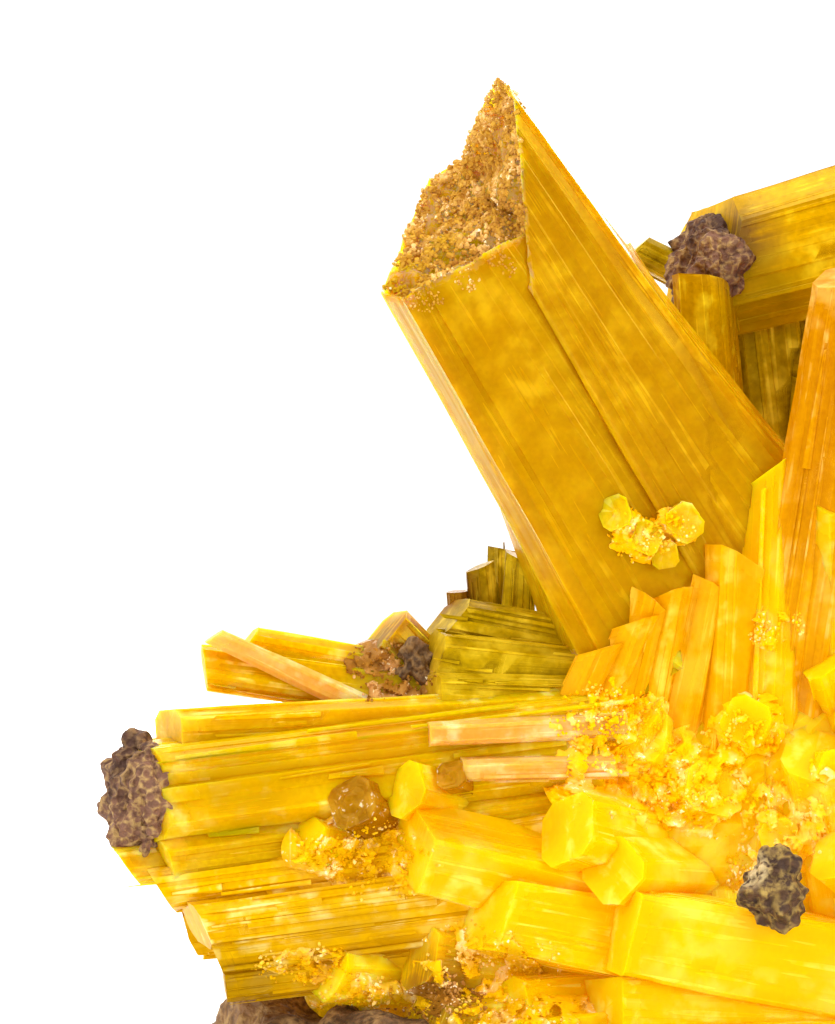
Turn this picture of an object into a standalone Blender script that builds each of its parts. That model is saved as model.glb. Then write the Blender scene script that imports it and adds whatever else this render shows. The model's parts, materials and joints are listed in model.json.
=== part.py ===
"""A legrandite specimen: yellow prisms grown together in one spray on a block of brown limonite.

Sizes and places are in millimetres until an object is made. X runs to the right across the
spray's front, Y away from the front, and Z up. The origin is on the flat base, under the middle.
A crystal is given by the point that it grows from and the middle of its free end.
"""

import math
import random
from typing import NamedTuple

import bmesh
import bpy
from mathutils import Matrix, Vector

MM = 0.001

# Driving dimensions.
GAP = 0.3  # kept between two minerals that meet
MAIN_PRISM_WIDTH = 12.3
MAIN_PRISM_DEPTH = 8.62
BASE_HALF_LENGTH = 21.0
BASE_HALF_DEPTH = 11.2
BASE_HEIGHT = 9.4
TAPER = 0.9  # the free end's width over the root's
WAVES = 6  # that make up the limonite's knobs

# Outlines of a prism, in shares of its width and depth, with the front at -0.5 in the second.
SQUARE = (
    (0.5, -0.3), (0.5, 0.3), (0.3, 0.5), (-0.3, 0.5),
    (-0.5, 0.3), (-0.5, -0.3), (-0.3, -0.5), (0.3, -0.5),
)
SHARP_LEFT = (
    (0.5, -0.4), (0.5, 0.4), (0.4, 0.5), (0.1, 0.5), (-0.5, -0.36), (-0.45, -0.5), (0.45, -0.5),
)
BRICK = (
    (0.5, -0.44), (0.5, 0.44), (0.44, 0.5), (-0.44, 0.5),
    (-0.5, 0.44), (-0.5, -0.44), (-0.44, -0.5), (0.44, -0.5),
)
SHARP_RIGHT = ((0.5, -0.42), (0.5, -0.2), (0.0, 0.5), (-0.5, 0.5), (-0.5, -0.5), (0.45, -0.5))


class Crystal(NamedTuple):
    """One prism. Width is across its front and depth behind it, both at the root."""

    root: tuple
    tip: tuple
    width: float
    depth: float
    taper: float = TAPER
    roll: float = 0  # degrees round its own axis
    end: tuple = (0, 0, 0)  # added to the axis, this is the way that the free end faces
    ledges: int = 0  # thinner prisms grown along its sides
    outline: tuple = SQUARE


class Lump(NamedTuple):
    """A knobbly body: a ball of these half sizes, boxier as square falls, turned round Z."""

    centre: tuple
    radii: tuple
    rough: float  # how far the knobs stand out
    knob: float  # from one knob to the next
    square: float = 1
    turn: float = 0
    detail: int = 3


# It broke off in two steps: across its left side, and steeply up its right side to a point.
MAIN_PRISM = [
    Crystal((-2.09, 0.86, 25.84), (-12.45, -3.0, 41.84), MAIN_PRISM_WIDTH, MAIN_PRISM_DEPTH,
            taper=0.735, roll=-4, end=(0.24, -0.31, -0.01), outline=SHARP_LEFT),
    Crystal((-0.93, 0.83, 28.2), (-11.08, -3.34, 44.35), 6.06, 7.98, taper=0.609, roll=-4,
            end=(-0.36, -0.21, -0.91), outline=SHARP_RIGHT),
    Crystal((-10.9, -1.9, 38.5), (-5.7, -1.0, 25.6), 4.0, 4.8, taper=1.25, roll=-6,
            end=(0.08, 0.1, 0.04)),
    Crystal((-0.4, 2.2, 29.6), (-7.2, 0.0, 40.4), 3.4, 4.4, roll=8, end=(0.3, 0, 0.1)),
    Crystal((-1.0, 1.6, 23.0), (-3.0, 1.6, 30.5), 7.0, 5.0),
]

# A crust of small crystals on the main prism's front.
MAIN_PRISM_DRUSE = [
    Crystal((-5.6, -1.6, 29.9), (-5.9, -4.9, 30.2), 1.5, 1.4, roll=20, end=(-0.3, 0, 0.3)),
    Crystal((-4.6, -1.6, 29.3), (-4.6, -5.0, 29.2), 1.4, 1.3, roll=-25, end=(0, 0, 0.4)),
    Crystal((-3.4, -1.6, 29.6), (-3.1, -4.9, 29.8), 1.7, 1.5, roll=35, end=(0.3, 0, -0.2)),
    Crystal((-3.9, -1.6, 28.8), (-3.9, -4.7, 28.5), 1.3, 1.2, roll=10, end=(0, 0, -0.4)),
]

LEFT_SHEAF = [
    Crystal((-6.5, -2.5, 22.2), (-23.6, -3.4, 21.4), 2.0, 3.6, roll=4, end=(0, -0.3, 0)),
    Crystal((-6.5, -3.5, 22.0), (-24.6, -4.4, 19.9), 2.3, 3.4, roll=-8, end=(0, -0.5, 0)),
    Crystal((-6.5, -3.6, 20.4), (-24.6, -4.8, 18.2), 2.7, 3.6, roll=12, end=(0, -0.6, 0)),
    Crystal((-7.5, -3.4, 18.8), (-24.2, -4.4, 16.5), 2.2, 3.6, roll=-14, end=(0, -0.4, -0.2)),
    Crystal((-6.5, -0.6, 20.8), (-24.2, -1.4, 19.3), 3.8, 3.2, roll=8, end=(0, 0.3, 0)),
    Crystal((-18.0, -4.2, 17.0), (-25.3, -4.4, 16.2), 1.7, 2.0, roll=20, end=(0, 0, -0.6)),
]

LOWER_SHEAF = [
    Crystal((-7.5, -3.8, 17.4), (-23.9, -4.2, 15.2), 2.0, 3.6, roll=10, end=(0, 0, -0.5)),
    Crystal((-7.5, -4.4, 15.9), (-22.5, -5.2, 13.9), 2.1, 3.4, roll=-8, end=(0, -0.2, -0.3)),
    Crystal((-8.5, -4.4, 14.3), (-21.7, -5.0, 12.6), 1.9, 3.4, roll=16, end=(0, 0, -0.3)),
    Crystal((-9.5, -3.8, 13.2), (-21.4, -4.4, 11.7), 1.8, 3.2, roll=-12),
    Crystal((-7.5, -1.0, 15.2), (-22.6, -1.4, 13.9), 3.6, 3.4, roll=6, end=(0, 0.3, -0.2)),
    Crystal((-2.0, 0.6, 12.6), (-15.5, -1.2, 11.6), 4.2, 4.4, roll=10),
]

BLADE_FAN = [
    Crystal((-13.0, -1.6, 22.6), (-22.2, -2.4, 23.9), 1.8, 1.6, roll=25, end=(0.1, 0, -0.25)),
    Crystal((-12.5, -0.6, 23.0), (-20.7, -1.4, 24.6), 2.0, 2.2, roll=10, end=(0, 0, 0.5)),
    Crystal((-12.5, -0.4, 22.6), (-15.0, -1.0, 25.3), 2.4, 2.2, roll=15, end=(-0.2, -0.2, 0.2)),
    Crystal((-15.9, -2.6, 22.4), (-21.8, -3.2, 25.2), 1.0, 0.9, taper=0.75, end=(0.3, 0, 0.5)),
]

OLIVE_BUNDLE = [
    Crystal((-4.6, 0.0, 24.2), (-12.5, -0.7, 25.8), 1.9, 2.6, roll=8, end=(0.2, -0.2, 0.5)),
    Crystal((-4.6, -1.4, 23.4), (-13.1, -2.3, 24.4), 2.1, 2.8, roll=-6, end=(0, -0.2, 0.2)),
    Crystal((-5.2, -2.2, 22.6), (-13.2, -3.0, 22.9), 1.7, 2.6, roll=10, end=(0, -0.3, 0)),
    Crystal((-10.9, 0.9, 24.4), (-11.2, 0.6, 27.8), 1.2, 1.1, roll=10, end=(-0.3, 0, 0)),
    Crystal((-9.8, 0.9, 24.4), (-9.6, 0.4, 28.2), 1.2, 1.3, roll=-15, end=(0.4, 0, 0)),
    Crystal((-11.9, 0.7, 24.2), (-12.1, 0.5, 26.8), 0.9, 0.9, roll=30),
    Crystal((-10.2, 2.2, 24.0), (-10.2, 2.4, 28.4), 1.2, 1.4, roll=40, end=(0.2, 0, 0)),
]

PALE_SLABS = [
    Crystal((-5.5, -4.4, 21.7), (-13.3, -5.3, 21.4), 1.1, 2.2, roll=6),
    Crystal((-6.0, -4.8, 20.2), (-12.0, -5.6, 20.1), 1.0, 2.0, roll=-6),
]

FRONT_BLOCKS = [
    Crystal((-4.8, -4.4, 14.8), (-13.9, -6.8, 17.1), 3.0, 3.2, roll=-32, end=(0.1, -0.2, -0.2),
            outline=BRICK),
    Crystal((-2.4, -4.6, 12.6), (-11.0, -7.2, 14.4), 3.2, 3.2, roll=6, end=(0.1, -0.3, 0.2),
            outline=BRICK),
    Crystal((5.6, -4.4, 11.6), (-5.9, -7.5, 13.9), 3.8, 3.4, roll=-5, end=(0.1, -0.2, 0),
            outline=BRICK),
    Crystal((7.6, -3.6, 9.8), (-6.4, -6.9, 10.7), 2.6, 3.6, roll=8, end=(0, -0.3, 0),
            outline=BRICK),
    Crystal((9.6, -4.0, 9.0), (-2.8, -8.2, 8.7), 3.0, 3.2, roll=-12, end=(0, -0.3, 0.2),
            outline=BRICK),
    Crystal((3.0, -3.0, 9.6), (-9.8, -7.4, 8.9), 2.6, 3.0, roll=16, end=(0, -0.2, -0.2),
            outline=BRICK),
    Crystal((-1.0, -2.0, 10.4), (-13.4, -6.4, 10.2), 2.4, 2.8, roll=-20, end=(0, -0.2, 0.3),
            outline=BRICK),
    Crystal((-4.0, -3.0, 16.4), (-7.8, -7.6, 17.8), 3.2, 3.0, roll=20, end=(-0.2, 0, 0.3)),
    Crystal((-2.6, -3.0, 15.6), (-6.0, -7.9, 16.2), 2.8, 2.6, roll=50, end=(0.1, 0, 0.2)),
    Crystal((-11.4, -3.0, 18.4), (-14.2, -6.4, 19.3), 2.4, 2.2, roll=35, end=(-0.2, 0, 0.2)),
    Crystal((-14.2, -3.0, 17.6), (-16.3, -6.6, 18.8), 2.3, 2.0, roll=30, end=(0.1, 0, 0.2)),
    Crystal((-11.2, -3.4, 19.0), (-12.4, -6.5, 19.9), 1.3, 1.2, roll=12, end=(0.2, 0, 0.4)),
    Crystal((-15.0, -3.0, 16.2), (-18.2, -6.2, 17.3), 2.0, 1.9, roll=-25, end=(0, 0, 0.4)),
    Crystal((-9.0, -3.0, 11.8), (-13.6, -6.4, 12.6), 2.6, 2.6, roll=18, end=(-0.2, 0, 0.3)),
    Crystal((-12.0, -2.6, 11.4), (-17.2, -5.8, 12.0), 2.4, 2.4, roll=-18, end=(0, 0, 0.3)),
    Crystal((-5.0, -3.0, 10.4), (-10.2, -6.8, 10.6), 2.6, 2.6, roll=30, end=(0.2, 0, 0.2)),
    Crystal((3.4, -3.4, 14.0), (2.0, -5.4, 20.6), 2.6, 2.6, roll=10, end=(0.2, -0.8, 0.1)),
    Crystal((5.6, -3.0, 13.0), (4.2, -5.4, 22.0), 2.8, 2.6, roll=-20, end=(0.2, -0.6, 0)),
    Crystal((9.0, -2.0, 12.0), (3.0, -7.0, 16.8), 2.6, 2.8, roll=20, end=(0, -0.3, 0.3)),
]

INNER_COLUMNS = [
    Crystal((-4.9, -2.6, 19.5), (-3.5, -3.9, 26.9), 1.6, 2.2, roll=10, end=(-0.5, -0.4, 0)),
    Crystal((-3.6, -2.6, 18.5), (-1.9, -3.5, 27.0), 1.8, 2.4, roll=-6, end=(-0.3, -0.5, 0)),
    Crystal((-7.0, -2.8, 20.5), (-5.0, -4.4, 25.8), 1.8, 2.0, roll=10, end=(-0.5, -0.4, 0)),
    Crystal((-8.0, -2.8, 20.8), (-6.3, -4.4, 24.8), 1.7, 1.8, roll=4, end=(-0.6, -0.4, 0)),
    Crystal((-1.4, -2.8, 16.0), (-1.2, -3.5, 27.2), 2.2, 2.8, roll=2, end=(-0.5, -0.5, 0)),
    Crystal((2.2, -2.6, 16.0), (1.6, -3.2, 31.0), 3.2, 3.2, roll=-5, end=(-0.4, -0.5, 0)),
    Crystal((4.8, -2.0, 16.0), (4.4, -3.2, 32.6), 3.2, 3.2, roll=14, end=(0.3, -0.4, 0)),
    Crystal((-3.2, -2.0, 15.0), (-5.2, -4.2, 22.0), 2.6, 2.4, roll=-16, end=(-0.4, -0.6, 0)),
    Crystal((-0.2, -3.8, 14.0), (0.2, -3.4, 28.6), 2.8, 3.4, roll=4, end=(-0.4, -0.8, 0)),
    Crystal((3.0, -2.6, 14.0), (2.4, -4.4, 26.0), 2.4, 2.4, roll=-8, end=(0.2, -0.8, 0)),
    Crystal((6.6, -1.4, 16.0), (5.4, -4.8, 26.6), 2.8, 2.8, roll=18, end=(0.3, -0.5, 0)),
]

TALL_SHEAF = [
    Crystal((-0.8, -1.8, 22.0), (5.0, -3.4, 42.0), 2.5, 2.8, roll=8, end=(-0.3, 0, 0)),
    Crystal((1.6, -1.6, 22.0), (7.2, -2.6, 45.6), 3.0, 3.2, roll=-12, end=(-0.4, -0.2, 0)),
    Crystal((3.2, -1.2, 21.0), (9.6, -1.6, 47.4), 3.6, 3.6, roll=10, end=(0.2, -0.3, 0)),
    Crystal((4.6, -0.8, 20.0), (12.6, -0.8, 46.2), 3.6, 3.8, roll=-8, end=(0.5, -0.2, 0)),
    Crystal((5.8, -0.6, 19.0), (14.2, -2.2, 41.0), 3.2, 3.2, roll=14, end=(0.3, 0, 0.2)),
    Crystal((4.0, 1.6, 20.0), (10.6, 3.6, 44.4), 3.8, 3.6, roll=20, end=(0, 0.3, 0)),
    Crystal((2.0, 3.2, 22.0), (5.6, 3.4, 41.0), 6.4, 3.4, roll=8, end=(-0.4, 0, 0)),
    Crystal((1.4, -2.4, 20.0), (4.2, -3.8, 37.5), 3.0, 2.8, roll=4, end=(-0.3, -0.3, 0)),
    Crystal((0.2, -2.6, 20.0), (3.2, -3.6, 39.5), 2.6, 2.6, taper=0.8, roll=-4, end=(-0.3, -0.3, 0)),
]

CROSSING_PRISM = [
    Crystal((9.6, 4.6, 42.4), (-2.3, 3.8, 39.3), 6.2, 6.0, taper=0.86, roll=6,
            end=(0, -0.4, 0.45), ledges=2),
    Crystal((-1.8, 1.8, 33.0), (-2.3, 0.9, 39.2), 2.5, 2.4, roll=12, end=(0.1, 0, 0)),
    Crystal((1.0, 5.4, 37.4), (-4.9, 5.4, 40.4), 1.4, 1.6, roll=10, end=(0, 0, 0.6)),
    Crystal((2.0, 4.6, 24.0), (0.2, 4.2, 39.0), 4.2, 4.0, roll=-10),
    Crystal((2.6, 4.0, 26.0), (3.6, 4.2, 40.0), 5.0, 3.4, roll=6),
]

RIGHT_SPRAY = [
    Crystal((5.0, 0.0, 21.0), (18.8, -2.4, 40.0), 4.2, 4.0, roll=8, end=(0.2, -0.3, 0), ledges=2),
    Crystal((5.0, -0.6, 20.0), (23.2, -3.4, 33.4), 4.6, 4.4, roll=-10, end=(0.3, 0, 0), ledges=2),
    Crystal((5.0, -0.4, 18.0), (25.0, -1.6, 24.4), 4.8, 4.6, roll=6, end=(0.3, 0, -0.2), ledges=3),
    Crystal((5.0, -1.6, 16.0), (23.4, -5.6, 17.4), 4.0, 3.8, roll=-14, end=(0, -0.3, -0.2)),
    Crystal((6.0, -1.0, 14.4), (20.8, -2.4, 13.0), 3.2, 3.4, roll=16),
    Crystal((6.0, -2.6, 16.0), (15.8, -11.2, 19.6), 3.8, 3.6, roll=20, end=(0, -0.2, 0.2)),
    Crystal((5.6, -2.6, 18.0), (12.6, -9.4, 26.8), 3.8, 3.6, roll=-8, end=(0, -0.2, 0.2)),
    Crystal((6.0, -2.0, 15.0), (18.4, -9.0, 13.6), 3.4, 3.6, roll=14, end=(0, -0.3, 0)),
    Crystal((6.0, 1.0, 20.0), (21.4, 5.6, 28.6), 4.0, 3.8, roll=12, end=(0, 0.3, 0)),
]

BACK_SPRAY = [
    Crystal((0.0, 2.0, 20.0), (-4.6, 10.0, 30.4), 4.6, 4.2, roll=10, end=(0, 0.3, 0), ledges=2),
    Crystal((1.0, 2.0, 20.0), (3.4, 10.8, 33.4), 4.8, 4.4, roll=-12, end=(0.2, 0, 0), ledges=2),
    Crystal((3.0, 2.0, 20.0), (12.4, 10.2, 30.0), 4.4, 4.2, roll=14, end=(0, 0, -0.3)),
    Crystal((-1.0, 1.6, 18.6), (-13.6, 7.4, 22.2), 3.8, 4.0, roll=-8, end=(-0.3, 0, 0)),
    Crystal((-1.0, 1.6, 17.0), (-17.0, 4.6, 17.8), 4.0, 3.8, roll=10, end=(0, 0.2, -0.2)),
    Crystal((2.0, 2.0, 18.0), (0.6, 11.6, 22.0), 4.6, 4.2, roll=22, end=(0, 0, 0.3)),
    Crystal((4.0, 1.6, 18.0), (15.4, 9.0, 20.6), 4.4, 4.0, roll=-16, end=(0.2, 0, 0)),
    Crystal((0.0, 2.0, 18.0), (-8.6, 10.0, 19.6), 4.2, 4.0, roll=18, end=(0, 0.2, 0)),
]

SPRAY = (
    MAIN_PRISM + MAIN_PRISM_DRUSE + LEFT_SHEAF + LOWER_SHEAF + BLADE_FAN + OLIVE_BUNDLE
    + PALE_SLABS + FRONT_BLOCKS + INNER_COLUMNS + TALL_SHEAF + CROSSING_PRISM + RIGHT_SPRAY
    + BACK_SPRAY
)

# The heart of the spray, which every crystal grows out of, and the small ones all over it.
HEART = Lump((0.6, 0.4, 17.6), (9.6, 5.6, 8.2), rough=0.6, knob=5, detail=2)
DRUSE_COUNT = 70

MATRIX = [
    Lump((-0.4, 0.3, 0.5), (BASE_HALF_LENGTH, BASE_HALF_DEPTH, BASE_HEIGHT - 0.5), rough=1.8,
         knob=5.5, square=0.5, detail=4),
    Lump((-16.2, -0.6, 5.0), (6.4, 7.0, 6.2), rough=1.2, knob=4, square=0.8),
]
CRUSTS = {
    "limonite_crust_left_sheaf": Lump((-24.9, -4.2, 18.7), (0.8, 2.4, 2.5), 0.5, 1.2, turn=28),
    "limonite_crust_crossing_prism": Lump((-2.2, 3.2, 39.3), (0.9, 2.8, 2.3), 0.5, 1.3, turn=12),
    "limonite_crust_front": Lump((0.5, -8.3, 15.3), (1.2, 0.9, 1.4), 0.4, 0.9, detail=2),
    "limonite_crust_blade_fan": Lump((-13.9, -1.9, 24.1), (1.0, 0.7, 1.0), 0.3, 0.8, detail=2),
    "limonite_crust_right_spray": Lump((25.4, -1.6, 24.4), (0.8, 2.5, 2.5), 0.5, 1.2, turn=-12),
}

MATERIALS = {
    "legrandite": ((0.93, 0.62, 0.03), 0.25),
    "limonite": ((0.20, 0.11, 0.05), 0.9),
}


def material(name):
    """The named mineral as a Principled BSDF of its colour and roughness."""
    colour, roughness = MATERIALS[name]
    made = bpy.data.materials.get(name) or bpy.data.materials.new(name)
    made.use_nodes = True
    surface = made.node_tree.nodes["Principled BSDF"]
    surface.inputs["Base Color"].default_value = (*colour, 1)
    surface.inputs["Roughness"].default_value = roughness
    surface.inputs["Metallic"].default_value = 0
    return made


def new_object(name, bm, collection, mineral):
    """Puts a bmesh, whose points are in millimetres, into an object of that name in metres."""
    bmesh.ops.recalc_face_normals(bm, faces=bm.faces)
    bmesh.ops.scale(bm, vec=(MM, MM, MM), verts=bm.verts)
    mesh = bpy.data.meshes.new(name)
    bm.to_mesh(mesh)
    bm.free()
    mesh.materials.append(material(mineral))
    obj = bpy.data.objects.new(name, mesh)
    collection.objects.link(obj)
    return obj


def hide_cutter(obj):
    obj.hide_render = True
    obj.display_type = "WIRE"


def prism(crystal):
    """A tapered bar of the crystal's outline from root to tip, cut off there by a sloping plane."""
    root, tip = Vector(crystal.root), Vector(crystal.tip)
    along = tip - root
    past = 0.6 * (crystal.width + crystal.depth)
    reach = along.length + past
    narrowing = 1 + (crystal.taper - 1) * reach / along.length
    bm = bmesh.new()
    outline = [(x * crystal.width, y * crystal.depth) for x, y in crystal.outline]
    foot = bm.faces.new([bm.verts.new((x, y, 0)) for x, y in outline])
    grown = bmesh.ops.extrude_face_region(bm, geom=[foot])["geom"]
    for vert in (v for v in grown if isinstance(v, bmesh.types.BMVert)):
        vert.co = (vert.co.x * narrowing, vert.co.y * narrowing, reach)
    turn = along.to_track_quat("Z", "X").to_matrix().to_4x4()
    roll = Matrix.Rotation(math.radians(crystal.roll), 4, "Z")
    bmesh.ops.transform(bm, matrix=Matrix.Translation(root) @ turn @ roll, verts=bm.verts)
    facing = (along.normalized() + Vector(crystal.end)).normalized()
    cut = bmesh.ops.bisect_plane(
        bm, geom=bm.verts[:] + bm.edges[:] + bm.faces[:], plane_co=tip, plane_no=facing,
        clear_outer=True,
    )
    rim = [e for e in cut["geom_cut"] if isinstance(e, bmesh.types.BMEdge)]
    bmesh.ops.edgeloop_fill(bm, edges=rim)
    return bm


def ledges_of(crystal, seed):
    """Thinner, shorter prisms half sunk in a crystal's sides, all along its own axis."""
    rng = random.Random(seed)
    root, tip = Vector(crystal.root), Vector(crystal.tip)
    axis = (tip - root).normalized()
    across = axis.cross(Vector((0, 1, 0))).normalized()
    for number in range(crystal.ledges):
        angle = 2 * math.pi * (number + rng.uniform(0.2, 0.8)) / crystal.ledges
        aside = 0.36 * crystal.width * math.cos(angle) * across
        behind = 0.36 * crystal.depth * math.sin(angle) * axis.cross(across)
        shift = aside + behind
        end = root.lerp(tip, rng.uniform(0.72, 0.94)) + shift * crystal.taper
        yield Crystal(
            tuple(root + shift), tuple(end), crystal.width * rng.uniform(0.26, 0.4),
            crystal.depth * rng.uniform(0.26, 0.4), roll=rng.uniform(-15, 15), end=crystal.end,
        )


def druse():
    """Small crystals that stand out all over the heart, on a spiral of even steps."""
    rng = random.Random(7)
    centre, radii = Vector(HEART.centre), Vector(HEART.radii)
    for number in range(DRUSE_COUNT):
        height = 1 - 2 * (number + 0.5) / DRUSE_COUNT
        angle = number * math.pi * (3 - math.sqrt(5))
        flat = math.sqrt(1 - height**2)
        way = Vector((flat * math.cos(angle), flat * math.sin(angle), height))
        skin = centre + 0.85 * radii * way
        lean = Vector(rng.uniform(-0.5, 0.5) for _ in range(3))
        out = (Vector(w / r for w, r in zip(way, radii)).normalized() + lean).normalized()
        width = rng.uniform(1.6, 2.9)
        yield Crystal(
            tuple(skin - 2 * out), tuple(skin + rng.uniform(1.2, 2.8) * out), width,
            width * rng.uniform(0.7, 1), roll=rng.uniform(0, 90), end=tuple(lean),
        )


def knobs(place):
    """A bumpy number from about -1 to 1 at a place in knob widths, by waves in several directions."""
    rng = random.Random(3)
    total = 0
    for _ in range(WAVES):
        way = Vector(rng.gauss(0, 1) for _ in range(3)).normalized()
        total += math.sin(math.pi * way.dot(place) + rng.uniform(0, 2 * math.pi))
    return total / math.sqrt(WAVES)


def lump(body, swell=0.0):
    """A squared ball with knobs of two sizes, its skin moved outward by swell."""
    bm = bmesh.new()
    bmesh.ops.create_icosphere(bm, subdivisions=body.detail, radius=1)
    centre, radii = Vector(body.centre), Vector(body.radii)
    turn = Matrix.Rotation(math.radians(body.turn), 3, "Z")
    for vert in bm.verts:
        way = vert.co.normalized()
        skin = Vector(math.copysign(abs(w) ** body.square * r, w) for w, r in zip(way, radii))
        out = Vector(w / r**2 for w, r in zip(skin, radii)).normalized()
        place = (skin + centre) / body.knob
        height = body.rough * (0.6 * knobs(place) + 0.3 * knobs(2.3 * place))
        vert.co = turn @ (skin + (height + swell) * out) + centre
    return bm


def boolean(obj, name, operation, operand):
    """Adds an exact Boolean modifier with an object, or with all of a collection's."""
    change = obj.modifiers.new(name, "BOOLEAN")
    change.operation = operation
    change.solver = "EXACT"
    if isinstance(operand, bpy.types.Collection):
        change.operand_type = "COLLECTION"
        change.collection = operand
    else:
        change.object = operand


def keep_outer_skin(obj):
    """Applies the modifiers, then drops loose chips and any hollow that the crystals closed in."""
    bm = bmesh.new()
    bm.from_object(obj, bpy.context.evaluated_depsgraph_get())
    obj.modifiers.clear()
    left = set(bm.faces)
    shells = []
    while left:
        shell = [left.pop()]
        for face in shell:
            for near in (f for edge in face.edges for f in edge.link_faces):
                if near in left:
                    left.remove(near)
                    shell.append(near)
        shells.append(shell)
    shells.sort(key=len)
    chips = [face for shell in shells[:-1] for face in shell]
    bmesh.ops.delete(bm, geom=chips, context="FACES")
    bm.to_mesh(obj.data)
    bm.free()


def build_spray(parts, cutters):
    """Joins the heart and every crystal in one solid, then clears it from the limonite."""
    crystals = bpy.data.collections.new("crystals")
    cutters.children.link(crystals)
    ledges = [ledge for number, c in enumerate(SPRAY) for ledge in ledges_of(c, number)]
    for number, crystal in enumerate([*SPRAY, *ledges, *druse()]):
        hide_cutter(new_object(f"crystal_{number:03d}", prism(crystal), crystals, "legrandite"))
    spray = new_object("legrandite_spray", lump(HEART), parts, "legrandite")
    boolean(spray, "grown together", "UNION", crystals)
    for number, body in enumerate([*MATRIX, *CRUSTS.values()]):
        room = new_object(f"room_{number}", lump(body, swell=GAP), cutters, "limonite")
        hide_cutter(room)
        boolean(spray, f"room {number}", "DIFFERENCE", room)
    keep_outer_skin(spray)


def build_matrix(parts, cutters):
    """The limonite block with its higher left end, cut off flat underneath."""
    block, knob = (lump(body) for body in MATRIX)
    matrix = new_object("limonite_matrix", block, parts, "limonite")
    knob = new_object("matrix_knob", knob, cutters, "limonite")
    hide_cutter(knob)
    boolean(matrix, "left end", "UNION", knob)
    below = bmesh.new()
    bmesh.ops.create_cube(below, size=4 * BASE_HALF_LENGTH)
    bmesh.ops.translate(below, vec=(0, 0, -2 * BASE_HALF_LENGTH), verts=below.verts)
    table = new_object("table", below, cutters, "limonite")
    hide_cutter(table)
    boolean(matrix, "flat underneath", "DIFFERENCE", table)


def main():
    for obj in list(bpy.data.objects):
        bpy.data.objects.remove(obj)
    parts = bpy.data.collections.new("legrandite_specimen")
    cutters = bpy.data.collections.new("cutters")
    for collection in (parts, cutters):
        bpy.context.scene.collection.children.link(collection)
    build_spray(parts, cutters)
    build_matrix(parts, cutters)
    for name, body in CRUSTS.items():
        new_object(name, lump(body), parts, "limonite")


main()
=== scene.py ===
"""A legrandite specimen in a plain white studio: striated yellow prisms on brown limonite.

Sizes are in millimetres until a mesh is made, in the frame's axes: X to the right across the
spray's front, Y away from the front, Z up from the flat base.
"""

import json
import math
import random
from typing import NamedTuple

import bpy
import numpy as np
from mathutils import Matrix, Vector
from mathutils.bvhtree import BVHTree

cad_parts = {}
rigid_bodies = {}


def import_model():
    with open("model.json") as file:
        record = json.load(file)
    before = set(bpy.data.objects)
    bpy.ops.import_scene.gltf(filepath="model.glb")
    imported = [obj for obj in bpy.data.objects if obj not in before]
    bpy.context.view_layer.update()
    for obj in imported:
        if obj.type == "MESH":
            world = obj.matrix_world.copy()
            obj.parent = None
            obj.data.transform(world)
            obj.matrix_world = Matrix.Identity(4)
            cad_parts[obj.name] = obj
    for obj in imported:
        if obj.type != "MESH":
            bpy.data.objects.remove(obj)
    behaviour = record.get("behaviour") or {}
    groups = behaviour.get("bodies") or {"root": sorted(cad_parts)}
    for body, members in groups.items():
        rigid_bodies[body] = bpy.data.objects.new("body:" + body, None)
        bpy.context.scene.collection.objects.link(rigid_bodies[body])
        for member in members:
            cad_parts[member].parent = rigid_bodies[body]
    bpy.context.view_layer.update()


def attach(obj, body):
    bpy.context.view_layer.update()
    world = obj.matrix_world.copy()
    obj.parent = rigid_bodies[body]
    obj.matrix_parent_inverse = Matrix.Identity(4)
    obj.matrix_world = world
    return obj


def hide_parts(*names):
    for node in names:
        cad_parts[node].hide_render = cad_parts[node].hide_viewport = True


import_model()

# The studio. A floor of white card, with soft lamps overhead, at both sides of the front, and
# behind, where one shines through the crystals. The camera is a long lens almost level with the
# spray, as for the photograph, whose frame is 1024 pixels high at 25 pixels to the millimetre.

MM = 0.001
PIXELS_PER_MM = 25
PHOTO_HEIGHT = 1024
PHOTO_MIDDLE = (417.5, 512)
ORIGIN_PIXEL = (760, 1262)
CAMERA_DISTANCE = 500
CAMERA_RISE = 2.5  # degrees above level
SENSOR = 36

scene = bpy.context.scene
scene.view_settings.view_transform = "Standard"


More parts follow.
